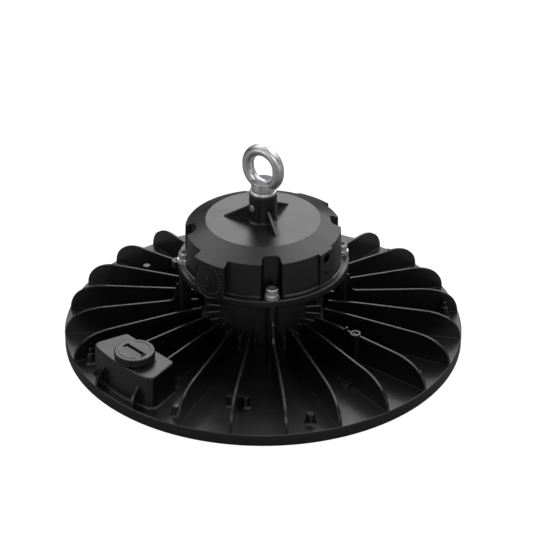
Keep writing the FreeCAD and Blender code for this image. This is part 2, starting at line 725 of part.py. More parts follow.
def lens_screws():
    """Screws that hold the lens plate from below."""
    screw = headed_screw(M4_R, M4_LENGTH, M4_HEAD_R, M4_HEAD_H, M4_SOCKET, M4_HEAD_H / 2)
    return copies_round(screw, LENS_POST_PITCH_R, LENS_POST_ANGLES, LENS_BOTTOM_Z)


def led_board():
    """Metal-cored circuit board for the chips."""
    board = rod(LED_BOARD_R, Vector(0, 0, BOARD_BOTTOM_Z), LED_BOARD_T)
    holes = [rod(M3_R + SCREW_HOLE_GAP, place(radius, angle, 0), WEB_Z + 1)
             for radius, angle in BOARD_SCREW_PLACES]
    return board.cut(group(holes))


def led_board_screws():
    """Low-headed screws that hold the board against the disc."""
    screw = headed_screw(M3_R, M3_LENGTH, M3_HEAD_R, M3_HEAD_H, 0, 0)
    return copies_at(screw, BOARD_SCREW_PLACES, BOARD_BOTTOM_Z)


def led_chips():
    """One light source under each dome."""
    chips = []
    half = CHIP_W / 2
    for pitch_r, count in DOME_RINGS:
        for k in range(count):
            chip = box(Vector(pitch_r - half, -half, BOARD_BOTTOM_Z - CHIP_H),
                       Vector(pitch_r + half, half, BOARD_BOTTOM_Z))
            chips.append(turned(chip, 360.0 * k / count))
    return group(chips)


def pocket_outline(offset):
    """Plan of a screw pocket along +X, with its inner corners and its lips rounded."""
    floor_r = POCKET_FLOOR_R - offset
    slope = POCKET_SPLAY
    half = POCKET_HALF_W + offset
    lip_x = WALL_TOP_R - POCKET_LIP_R
    side_v = half + slope * (lip_x - POCKET_FLOOR_R)
    c = POCKET_CORNER_R
    bulge = c * (1 - math.sqrt(0.5))
    reach = FLANGE_R + POCKET_FLOOR_INSET
    lip = POCKET_LIP_R
    upper = [Vector(floor_r, half - c, 0), Vector(floor_r + bulge, half - bulge, 0),
             Vector(floor_r + c, half + slope * c, 0), Vector(lip_x, side_v, 0),
             Vector(lip_x + lip * math.sqrt(0.5), side_v + lip * (1 - math.sqrt(0.5)), 0),
             Vector(lip_x + lip, side_v + lip, 0), Vector(reach, side_v + lip, 0)]
    lower = [Vector(p.x, -p.y, 0) for p in upper]
    edges = [
        Part.LineSegment(lower[0], upper[0]).toShape(),
        Part.Arc(upper[0], upper[1], upper[2]).toShape(),
        Part.LineSegment(upper[2], upper[3]).toShape(),
        Part.Arc(upper[3], upper[4], upper[5]).toShape(),
        Part.LineSegment(upper[5], upper[6]).toShape(),
        Part.LineSegment(upper[6], lower[6]).toShape(),
        Part.LineSegment(lower[6], lower[5]).toShape(),
        Part.Arc(lower[5], lower[4], lower[3]).toShape(),
        Part.LineSegment(lower[3], lower[2]).toShape(),
        Part.Arc(lower[2], lower[1], lower[0]).toShape(),
    ]
    return Part.Face(Part.Wire(edges))


def pockets(offset, base_z):
    """The four screw pockets as solids, from a level up past the roof."""
    face = pocket_outline(offset)
    face.translate(Vector(0, 0, base_z))
    block = face.extrude(Vector(0, 0, ROOF_Z + 1 - base_z))
    return [turned(block, angle) for angle in COLUMN_ANGLES]


def under_cone():
    """Solid of revolution up to the cone's surface, carried on out to the flange's radius."""
    edge_z = WALL_TOP_Z - CONE_SLOPE * (FLANGE_R - WALL_TOP_R)
    return revolved([(0, FLANGE_Z - 1), (FLANGE_R, FLANGE_Z - 1), (FLANGE_R, edge_z),
                     (CONE_TOP_R, ROOF_Z), (0, ROOF_Z)])


def wide_pad():
    """Wide pad flush with the flange, with the cone running over it and its sides rounded, along +X."""
    turn = math.radians(WIDE_PAD_HALF_ANGLE)
    side = Vector(FLANGE_R * math.cos(turn), FLANGE_R * math.sin(turn), 0)
    inner_r = WALL_TOP_R - HOUSING_WALL / 2
    inner = Vector(inner_r * math.cos(turn), inner_r * math.sin(turn), 0)
    corners = [side, inner, Vector(inner.x, -inner.y, 0), Vector(side.x, -side.y, 0)]
    edges = [Part.LineSegment(corners[k], corners[k + 1]).toShape() for k in range(3)]
    edges.append(Part.Arc(corners[3], Vector(FLANGE_R, 0, 0), corners[0]).toShape())
    pad = Part.Face(Part.Wire(edges)).extrude(Vector(0, 0, ROOF_Z - FLANGE_Z + 1))
    outer = [edge for edge in pad.Edges
             if edge.BoundBox.ZLength > PAD_SIDE_R and edge.BoundBox.XMin > side.x - 0.01]
    pad = pad.makeFillet(PAD_SIDE_R, outer)
    pad.translate(Vector(0, 0, FLANGE_Z - 1))
    return pad.common(under_cone())


def cable_pad():
    """Narrow flat pad round the cable hole."""
    pad = box(Vector(CABLE_PAD_X - HOUSING_WALL, -CABLE_PAD_HALF_W, FLANGE_Z - 1),
              Vector(CABLE_PAD_X, CABLE_PAD_HALF_W, ROOF_Z))
    return pad.common(under_cone())


def housing_shell():
    """Turned outer form of the driver housing with its eyebolt boss."""
    fillet = WALL_FILLET
    step = fillet * (1 - math.sqrt(0.5))
    return revolved([
        (0, HOUSING_Z), (FLANGE_R - FLANGE_EDGE, HOUSING_Z), (FLANGE_R, HOUSING_Z + FLANGE_EDGE),
        (FLANGE_R, FLANGE_Z - FLANGE_EDGE), (FLANGE_R - FLANGE_EDGE, FLANGE_Z),
        (WALL_FOOT_R + fillet, FLANGE_Z), (WALL_FOOT_R + step, FLANGE_Z + step),
        (WALL_FOOT_R, FLANGE_Z + fillet), (WALL_TOP_R, WALL_TOP_Z), (CONE_TOP_R, ROOF_Z),
        (EYE_BOSS_R + EYE_BOSS_FOOT, ROOF_Z), (EYE_BOSS_R, ROOF_Z + EYE_BOSS_FOOT),
        (EYE_BOSS_R, BOSS_Z), (0, BOSS_Z)])


def boss_web():
    """Triangular web between the eyebolt boss and the roof, along +X."""
    start = EYE_BOSS_R / 2
    outline = [
        line((start, ROOF_Z - 1), (start, ROOF_Z + WEB_H)),
        line((start, ROOF_Z + WEB_H), (EYE_BOSS_R, ROOF_Z + WEB_H)),
        line((EYE_BOSS_R, ROOF_Z + WEB_H), (WEB_R, ROOF_Z)),
        line((WEB_R, ROOF_Z), (WEB_R, ROOF_Z - 1)),
        line((WEB_R, ROOF_Z - 1), (start, ROOF_Z - 1)),
    ]
    return drafted_plate(outline, WEB_FOOT_T, WEB_TOP_T, ROOF_Z - 1, ROOF_Z + WEB_H)


def housing_cavity():
    """Hollow of the driver housing, kept off the screw pockets by the wall."""
    top_z = ROOF_Z - HOUSING_ROOF
    cone_z = WALL_TOP_Z - HOUSING_ROOF / 2
    hollow = revolved([(0, CAVITY_Z), (WALL_FOOT_R - HOUSING_WALL, CAVITY_Z),
                       (WALL_TOP_R - HOUSING_WALL, cone_z), (CONE_TOP_R - HOUSING_WALL / 2, top_z),
                       (0, top_z)])
    return hollow.cut(group(pockets(HOUSING_WALL, CAVITY_Z - 1)))


def ear(angle):
    """Half-round lug on the flange edge."""
    lug = box(Vector(WALL_FOOT_R, -EAR_R, HOUSING_Z), Vector(EAR_X, EAR_R, FLANGE_Z))
    lug = lug.fuse(rod(EAR_R, Vector(EAR_X, 0, HOUSING_Z), FLANGE_T))
    return turned(lug, angle)


def housing_cuts():
    """Holes, recess and pockets of the driver housing, apart from the cavity."""
    cuts = pockets(0, FLANGE_Z)
    cuts.append(rod(BASE_PLATE_R + BASE_PLATE_GAP, Vector(0, 0, HOUSING_Z), CAVITY_Z - HOUSING_Z))
    for angle in COLUMN_ANGLES:
        cuts.append(rod(M6_R + SCREW_HOLE_GAP, place(COLUMN_PITCH_R, angle, HOUSING_Z), FLANGE_T + 1))
    along_x = Vector(1, 0, 0)
    cuts.append(rod(CABLE_HOLE_R, Vector(DRIVER_BOARD_R, 0, HOUSING_Z + CABLE_HOLE_RISE),
                    CABLE_PAD_X - DRIVER_BOARD_R, along_x))
    cuts.append(rod(CLAMP_HOLE_R, Vector(CABLE_PAD_X - CLAMP_HOLE_DEPTH, 0, HOUSING_Z + CLAMP_HOLE_RISE),
                    CLAMP_HOLE_DEPTH, along_x))
    dial = rod(DIAL_R, Vector(WALL_FOOT_R, 0, HOUSING_Z + DIAL_RISE), 2 * WALL_INSET, along_x)
    dial = dial.cut(rod(FLANGE_R - DIAL_DEPTH, Vector(0, 0, HOUSING_Z), ROOF_Z - HOUSING_Z))
    cuts.append(turned(dial, WIDE_PAD_ANGLES[0]))
    cuts.append(turned(rod(EAR_HOLE_R, Vector(EAR_X, 0, HOUSING_Z), FLANGE_T), EAR_ANGLE))
    shank_end = BOSS_Z - EYE_SHANK_L - EYE_HOLE_EXTRA
    cuts.append(rod(EYE_SHANK_R + THREAD_GAP, Vector(0, 0, shank_end), BOSS_Z - shank_end))
    cuts.append(turned(rod(LOCK_R + THREAD_GAP, Vector(0, 0, BOSS_Z - LOCK_DROP), EYE_BOSS_R + 1, along_x),
                       LOCK_ANGLE))
    return cuts


def driver_housing():
    """Cast cover over the driver, with the eyebolt boss on its roof."""
    adds = [turned(wide_pad(), angle) for angle in WIDE_PAD_ANGLES]
    adds.append(cable_pad())
    adds.append(ear(EAR_ANGLE))
    adds.extend(turned(boss_web(), WEB_FIRST + 360.0 * k / WEB_COUNT) for k in range(WEB_COUNT))
    body = housing_shell().multiFuse(adds)
    body = body.cut(group(housing_cuts())).cut(housing_cavity())
    return body.removeSplitter()


def driver_base_plate():
    """Sheet plate that closes the housing, clamped between it and the columns."""
    plate = rod(BASE_PLATE_R, Vector(0, 0, HOUSING_Z), BASE_PLATE_T)
    holes = [rod(M6_R + SCREW_HOLE_GAP, place(COLUMN_PITCH_R, angle, HOUSING_Z), BASE_PLATE_T)
             for angle in COLUMN_ANGLES]
    holes.append(rod(GROMMET_R, Vector(0, 0, HOUSING_Z), BASE_PLATE_T))
    return plate.cut(group(holes))


def housing_gasket():
    """Flat seal between the base plate and the housing."""
    ring = rod(BASE_PLATE_R, Vector(0, 0, BASE_PLATE_Z), GASKET_T)
    inner = rod(WALL_FOOT_R - HOUSING_WALL, Vector(0, 0, BASE_PLATE_Z), GASKET_T)
    inner = inner.cut(group(pockets(HOUSING_WALL, BASE_PLATE_Z - 1)))
    holes = [rod(M6_R + SCREW_HOLE_GAP, place(COLUMN_PITCH_R, angle, BASE_PLATE_Z), GASKET_T)
             for angle in COLUMN_ANGLES]
    return ring.cut(group([inner] + holes))


def drum_gasket():
    """Seal ring in the drum's top groove, under the base plate."""
    mid = DRUM_R - DRUM_WALL / 2
    half = DRUM_SEAL_W / 2 - SEAT_GAP
    return tube(mid + half, mid - half, Vector(0, 0, HOUSING_Z - DRUM_SEAL_H), DRUM_SEAL_H)


def wire_grommet():
    """Rubber bush in the base plate's centre hole, bored for the leads."""
    lip_r = GROMMET_R + GROMMET_LIP
    core_r = GROMMET_R - SEAT_GAP
    low_z = HOUSING_Z - GROMMET_LIP_T
    high_z = BASE_PLATE_Z + GROMMET_LIP_T
    bush = revolved([(0, low_z), (lip_r, low_z), (lip_r, HOUSING_Z), (core_r, HOUSING_Z),
                     (core_r, BASE_PLATE_Z), (lip_r, BASE_PLATE_Z), (lip_r, high_z), (0, high_z)])
    holes = [rod(LEAD_R + SEAT_GAP, Vector(side * LEAD_SPACING / 2, 0, low_z), high_z - low_z)
             for side in (-1, 1)]
    return bush.cut(group(holes))


def led_leads():
    """Pair of leads from the driver board down the drum to the chips' board."""
    leads = [rod(LEAD_R, Vector(side * LEAD_SPACING / 2, 0, WEB_Z), DRIVER_BOARD_Z - WEB_Z)
             for side in (-1, 1)]
    return group(leads)


def housing_screws():
    """Socket-headed screws through the flange into the columns."""
    screw = headed_screw(M6_R, M6_LENGTH, M6_HEAD_R, M6_HEAD_H, M6_SOCKET, M6_HEAD_H / 2)
    screw.rotate(Vector(0, 0, 0), Vector(1, 0, 0), 180)
    return copies_round(screw, COLUMN_PITCH_R, COLUMN_ANGLES, FLANGE_Z + WASHER_T + SPRING_T)


def flat_washers():
    """Plain washers on the flange."""
    washer = tube(WASHER_R, M6_R + SCREW_HOLE_GAP, Vector(0, 0, 0), WASHER_T)
    return copies_round(washer, COLUMN_PITCH_R, COLUMN_ANGLES, FLANGE_Z)


def spring_washers():
    """Split washers under the screw heads."""
    ring = tube(SPRING_R, M6_R + SCREW_HOLE_GAP, Vector(0, 0, 0), SPRING_T)
    split = box(Vector(0, -SPRING_GAP / 2, 0), Vector(SPRING_R + 1, SPRING_GAP / 2, SPRING_T))
    return copies_round(ring.cut(split), COLUMN_PITCH_R, COLUMN_ANGLES, FLANGE_Z + WASHER_T)


def eyebolt():
    """Forged eyebolt: slightly tall ring on a neck, collar and shank."""
    low_z = BOSS_Z + EYE_LIFT
    high_z = low_z + EYE_RING_STRAIGHT
    reach = EYE_RING_R + EYE_TUBE_R + 1
    low = Part.makeTorus(EYE_RING_R, EYE_TUBE_R, Vector(0, 0, low_z), Vector(0, 1, 0))
    low = low.common(box(Vector(-reach, -reach, low_z - reach), Vector(reach, reach, low_z)))
    high = Part.makeTorus(EYE_RING_R, EYE_TUBE_R, Vector(0, 0, high_z), Vector(0, 1, 0))
    high = high.common(box(Vector(-reach, -reach, high_z), Vector(reach, reach, high_z + reach)))
    sides = [rod(EYE_TUBE_R, Vector(x, 0, low_z), EYE_RING_STRAIGHT) for x in (-EYE_RING_R, EYE_RING_R)]
    ring = turned(low.multiFuse([high] + sides).removeSplitter(), EYE_TURN)
    edge = COLLAR_ROUND * (1 - math.sqrt(0.5))
    body = revolved([
        (0, BOSS_Z - EYE_SHANK_L), (EYE_SHANK_R - SHANK_TIP, BOSS_Z - EYE_SHANK_L),
        (EYE_SHANK_R, BOSS_Z - EYE_SHANK_L + SHANK_TIP), (EYE_SHANK_R, BOSS_Z),
        (COLLAR_R - COLLAR_ROUND / 2, BOSS_Z), (COLLAR_R - edge / 2, BOSS_Z + edge),
        (COLLAR_R, BOSS_Z + COLLAR_ROUND / 2 + edge), (COLLAR_R, BOSS_Z + COLLAR_H - COLLAR_ROUND),
        (COLLAR_R - edge, BOSS_Z + COLLAR_H - edge), (EYE_NECK_R, BOSS_Z + COLLAR_H),
        (EYE_NECK_R, BOSS_Z + EYE_NECK_H), (0, BOSS_Z + EYE_NECK_H)])
    return body.fuse(ring)


def eyebolt_lock_screw():
    """Grub screw that locks the eyebolt's shank in its boss."""
    start = EYE_SHANK_R + SEAT_GAP
    length = EYE_BOSS_R + LOCK_STANDOUT - start
    screw = rod(LOCK_R, Vector(0, 0, 0), length)
    screw = screw.cut(hexagon(LOCK_R, length / 2, length))
    screw.rotate(Vector(0, 0, 0), Vector(0, 1, 0), 90)
    screw.translate(Vector(start, 0, BOSS_Z - LOCK_DROP))
    return turned(screw, LOCK_ANGLE)


def to_port(shape):
    """A shape built round the origin, moved to the sensor socket with +X pointing outwards."""
    moved = turned(shape, PORT_ANGLE)
    moved.translate(port_centre(0))
    return moved


def lugs(radius, width, base_z, height):
    """Two opposite lugs as a bar with round ends."""
    bar = box(Vector(-radius, -width / 2, base_z), Vector(radius, width / 2, base_z + height))
    return bar.common(rod(radius, Vector(0, 0, base_z), height))


def sensor_socket():
    """Moulded socket in the box, with a ring that the cap's lugs turn under."""
    outer = PORT_R - SOCKET_GAP
    ring_z = BOX_TOP_Z - SOCKET_RING_T
    floor_z = BOX_TOP_Z - PORT_DEPTH
    cup = rod(outer, Vector(0, 0, floor_z), PORT_DEPTH)
    well = rod(SOCKET_CHANNEL_R, Vector(0, 0, floor_z + SOCKET_FLOOR_T),
               ring_z - floor_z - SOCKET_FLOOR_T)
    mouth = rod(NECK_R + TURN_GAP, Vector(0, 0, ring_z), SOCKET_RING_T)
    notch = lugs(SOCKET_CHANNEL_R, LUG_WIDTH + 2 * TURN_GAP, ring_z, SOCKET_RING_T)
    cup = cup.cut(well).cut(mouth).cut(notch)
    slots = []
    for k in range(CONTACT_COUNT):
        slots.append(turned(contact_blade(SEAT_GAP), 360.0 * k / CONTACT_COUNT))
    slots.append(rod(PORT_WIRE_R / 2, Vector(0, 0, floor_z), SOCKET_FLOOR_T))
    return to_port(cup.cut(group(slots)))


def contact_blade(gap):
    """Upright contact blade through the socket's floor, widened by a gap for its slot."""
    floor_z = BOX_TOP_Z - PORT_DEPTH
    return box(Vector(CONTACT_PITCH_R - CONTACT_T / 2 - gap, -CONTACT_W / 2 - gap,
                      floor_z + CONTACT_FOOT_INSET),
               Vector(CONTACT_PITCH_R + CONTACT_T / 2 + gap, CONTACT_W / 2 + gap,
                      floor_z + SOCKET_FLOOR_T + CONTACT_H))


def socket_contacts():
    """Contact blades that stand in the socket."""
    blades = [turned(contact_blade(0), 360.0 * k / CONTACT_COUNT) for k in range(CONTACT_COUNT)]
    return to_port(group(blades))


def knurled_band(base_z, height):
    """Grip band with straight knurling, its top edge broken."""
    points = []
    for k in range(2 * KNURL_COUNT):
        radius = CAP_R if k % 2 == 0 else CAP_R - KNURL_DEPTH
        turn = math.pi * k / KNURL_COUNT
        points.append((radius * math.cos(turn), radius * math.sin(turn)))
    band = prism(points, base_z, height)
    hood = revolved([(0, base_z), (CAP_R + 1, base_z), (CAP_R + 1, base_z + height - CAP_EDGE - 1),
                     (CAP_R - CAP_EDGE, base_z + height), (0, base_z + height)])
    return band.common(hood)


def sensor_plug():
    """Turning cap: knurled grip with a coin slot, hollow neck and two lugs."""
    low_z = BOX_TOP_Z + TURN_GAP
    top_z = BOX_TOP_Z + CAP_H
    lower_z = low_z + CAP_LOWER_H
    groove_z = lower_z + CAP_GROOVE_H
    head = revolved([(0, low_z), (CAP_R - CAP_EDGE, low_z), (CAP_R - CAP_EDGE / 2, low_z + CAP_EDGE / 2),
                     (CAP_R - CAP_EDGE / 2, lower_z), (CAP_R - CAP_GROOVE_DEPTH, lower_z),
                     (CAP_R - CAP_GROOVE_DEPTH, groove_z), (0, groove_z)])
    lug_z = BOX_TOP_Z - SOCKET_RING_T - TURN_GAP - LUG_T
    neck = tube(NECK_R, NECK_R - NECK_WALL, Vector(0, 0, lug_z), low_z + CAP_LOWER_H / 2 - lug_z)
    wings = lugs(LUG_R, LUG_WIDTH, lug_z, LUG_T)
    wings = turned(wings.cut(rod(NECK_R - NECK_WALL / 2, Vector(0, 0, lug_z), LUG_T)), 90)
    plug = knurled_band(groove_z, top_z - groove_z).multiFuse([head, neck, wings])
    slot = box(Vector(-SLOT_W / 2, -SLOT_LENGTH / 2, top_z - SLOT_DEPTH),
               Vector(SLOT_W / 2, SLOT_LENGTH / 2, top_z))
    deep_x = SLOT_DEEP_INSET - SLOT_W / 2
    deep = box(Vector(deep_x, -SLOT_LENGTH / 2 + SLOT_DEEP_INSET, top_z - SLOT_DEEP_DEPTH),
               Vector(deep_x + SLOT_DEEP_W, SLOT_LENGTH / 2 - SLOT_DEEP_INSET, top_z))
    groove = tube(PLUG_SEAL_R + SEAT_GAP, PLUG_SEAL_R - PLUG_SEAL_W - SEAT_GAP,
                  Vector(0, 0, low_z), PLUG_SEAL_H)
    plug = plug.cut(group([slot, groove])).cut(deep)
    return to_port(plug.removeSplitter())


def plug_seal():
    """Seal ring in the groove under the cap."""
    low_z = BOX_TOP_Z + TURN_GAP
    return to_port(tube(PLUG_SEAL_R, PLUG_SEAL_R - PLUG_SEAL_W, Vector(0, 0, low_z), PLUG_SEAL_H))


def driver_board():
    """Round circuit board of the driver."""
    board = rod(DRIVER_BOARD_R, Vector(0, 0, DRIVER_BOARD_Z), DRIVER_BOARD_T)
    holes = [rod(M3_R + SCREW_HOLE_GAP, place(STANDOFF_PITCH_R, angle, DRIVER_BOARD_Z), DRIVER_BOARD_T)
             for angle in standoff_angles()]
    return board.cut(group(holes))


def standoff_angles():
    """Angles of the stand-offs, between the screw pockets."""
    return [360.0 * k / STANDOFF_COUNT for k in range(STANDOFF_COUNT)]


def driver_standoffs():
    """Round stand-offs that carry the driver board on the base plate."""
    sleeve = tube(STANDOFF_R, M3_R + THREAD_GAP, Vector(0, 0, 0), STANDOFF_H)
    return copies_round(sleeve, STANDOFF_PITCH_R, standoff_angles(), BASE_PLATE_Z)


def driver_board_screws():
    """Screws that hold the driver board on its stand-offs."""
    screw = headed_screw(M3_R, DRIVER_SCREW_L, M3_HEAD_R, DRIVER_SCREW_HEAD_H, 0, 0)
    screw.rotate(Vector(0, 0, 0), Vector(1, 0, 0), 180)
    return copies_round(screw, STANDOFF_PITCH_R, standoff_angles(), DRIVER_TOP_Z)


def transformer_core():
    """Ferrite core with a window each side of its middle leg."""
    half_l = CORE_LENGTH / 2
    block = box(Vector(-CORE_W / 2, -half_l, DRIVER_TOP_Z),
                Vector(CORE_W / 2, half_l, DRIVER_TOP_Z + CORE_H))
    low_z = DRIVER_TOP_Z + CORE_YOKE
    high_z = DRIVER_TOP_Z + CORE_H - CORE_YOKE
    windows = [box(Vector(-CORE_W, min(side * CORE_LEG / 2, side * (half_l - CORE_YOKE)), low_z),
                   Vector(CORE_W, max(side * CORE_LEG / 2, side * (half_l - CORE_YOKE)), high_z))
               for side in (-1, 1)]
    return block.cut(group(windows))


def transformer_winding():
    """Winding round the core's middle leg."""
    low_z = DRIVER_TOP_Z + CORE_YOKE + WINDING_GAP
    height = CORE_H - 2 * (CORE_YOKE + WINDING_GAP)
    reach = CORE_LENGTH / 2 - CORE_YOKE - WINDING_GAP
    side = CORE_W / 2 + reach - CORE_LEG / 2
    coil = box(Vector(-side, -reach, low_z), Vector(side, reach, low_z + height))
    upright = [edge for edge in coil.Edges if edge.BoundBox.ZLength > height / 2]
    coil = coil.makeFillet(reach - CORE_LEG / 2, upright)
    leg = box(Vector(-CORE_W / 2 - WINDING_GAP, -CORE_LEG / 2 - WINDING_GAP, low_z),
              Vector(CORE_W / 2 + WINDING_GAP, CORE_LEG / 2 + WINDING_GAP, low_z + height))
    return coil.cut(leg)


def filter_choke():
    """Ring-shaped choke of the mains filter."""
    return tube(CHOKE_R, CHOKE_BORE_R, Vector(CHOKE_X, CHOKE_Y, DRIVER_TOP_Z), CHOKE_H)


def capacitors():
    """Row of upright electrolytic capacitors."""
    cans = [rod(CAPACITOR_R, Vector(CAPACITOR_X, CAPACITOR_Y + CAPACITOR_PITCH * k, DRIVER_TOP_Z),
                CAPACITOR_H)
            for k in range(CAPACITOR_COUNT)]
    return group(cans)


def terminal_block():
    """Mains terminal block that faces the cable hole."""
    block = box(Vector(TERMINAL_X - TERMINAL_W / 2, -TERMINAL_L / 2, DRIVER_TOP_Z),
                Vector(TERMINAL_X + TERMINAL_W / 2, TERMINAL_L / 2, DRIVER_TOP_Z + TERMINAL_H))
    pitch = TERMINAL_L / TERMINAL_WAYS
    start_x = TERMINAL_X + TERMINAL_W / 2 - TERMINAL_HOLE_DEPTH
    holes = [rod(TERMINAL_HOLE_R, Vector(start_x, pitch * (k - (TERMINAL_WAYS - 1) / 2),
                                         DRIVER_TOP_Z + TERMINAL_H / 2), TERMINAL_W, Vector(1, 0, 0))
             for k in range(TERMINAL_WAYS)]
    return block.cut(group(holes))


NODES = {
    "heat_sink": heat_sink,
    "lens_plate": lens_plate,
    "lens_gasket": lens_gasket,
    "lens_screws": lens_screws,
    "led_board": led_board,
    "led_board_screws": led_board_screws,
    "led_chips": led_chips,
    "led_leads": led_leads,
    "driver_housing": driver_housing,
    "driver_base_plate": driver_base_plate,
    "housing_gasket": housing_gasket,
    "drum_gasket": drum_gasket,
    "wire_grommet": wire_grommet,
    "housing_screws": housing_screws,
    "flat_washers": flat_washers,
    "spring_washers": spring_washers,
    "eyebolt": eyebolt,
    "eyebolt_lock_screw": eyebolt_lock_screw,
    "sensor_socket": sensor_socket,
    "socket_contacts": socket_contacts,
    "sensor_plug": sensor_plug,
    "plug_seal": plug_seal,
    "driver_board": driver_board,
    "driver_standoffs": driver_standoffs,
    "driver_board_screws": driver_board_screws,
    "transformer_core": transformer_core,
    "transformer_winding": transformer_winding,
    "filter_choke": filter_choke,
    "capacitors": capacitors,
    "terminal_block": terminal_block,
}

os.makedirs("parts", exist_ok=True)
for name, make in NODES.items():
    make().exportStep(os.path.join("parts", name + ".step"))
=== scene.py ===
"""High bay light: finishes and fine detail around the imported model, with a studio and a camera."""

import logging
import math
from dataclasses import dataclass, replace
from enum import Enum

import bmesh
import bpy
from mathutils import Matrix, Vector


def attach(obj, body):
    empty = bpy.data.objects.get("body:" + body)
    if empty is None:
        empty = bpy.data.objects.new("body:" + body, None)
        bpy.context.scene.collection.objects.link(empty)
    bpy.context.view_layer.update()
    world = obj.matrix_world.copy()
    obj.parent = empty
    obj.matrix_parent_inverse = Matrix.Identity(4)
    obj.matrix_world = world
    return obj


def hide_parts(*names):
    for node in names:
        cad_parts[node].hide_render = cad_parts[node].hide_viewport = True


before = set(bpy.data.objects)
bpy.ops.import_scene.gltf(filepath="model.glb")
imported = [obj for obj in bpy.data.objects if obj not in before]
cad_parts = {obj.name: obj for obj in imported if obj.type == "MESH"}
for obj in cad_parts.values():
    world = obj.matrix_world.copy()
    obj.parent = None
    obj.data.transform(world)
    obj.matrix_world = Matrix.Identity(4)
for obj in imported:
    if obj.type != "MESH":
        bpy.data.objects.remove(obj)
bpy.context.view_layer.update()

LOG = logging.getLogger("high_bay_light")
MM = 0.001
FIXTURE = "fixture"
CAP_BODY = "sensor_cap"
FULL_TURN = 360.0
HALF_TURN = 180.0
WHITE = (1.0, 1.0, 1.0, 1.0)


class Paint(Enum):
    """Colours of the coatings and plastics, as linear values."""

    CAST_BLACK = (0.0018, 0.0018, 0.002)
    # painted highlight: a lighter black for the dial's raised marks, so that they read as catching the light
    TICK_HIGHLIGHT_BLACK = (0.02, 0.02, 0.021)
    CAP_BLACK = (0.0045, 0.0046, 0.0048)
    SEAL_BLACK = (0.012, 0.012, 0.012)
    SILICONE = (0.62, 0.64, 0.65)
    BOARD_WHITE = (0.83, 0.83, 0.81)
    PHOSPHOR = (0.86, 0.66, 0.14)
    LEAD_RED = (0.42, 0.02, 0.015)
    CIRCUIT_GREEN = (0.015, 0.13, 0.04)
    FERRITE = (0.035, 0.035, 0.038)
    WINDING = (0.62, 0.4, 0.05)
    CAN_BLUE = (0.02, 0.03, 0.09)
    TERMINAL_GREEN = (0.05, 0.2, 0.1)


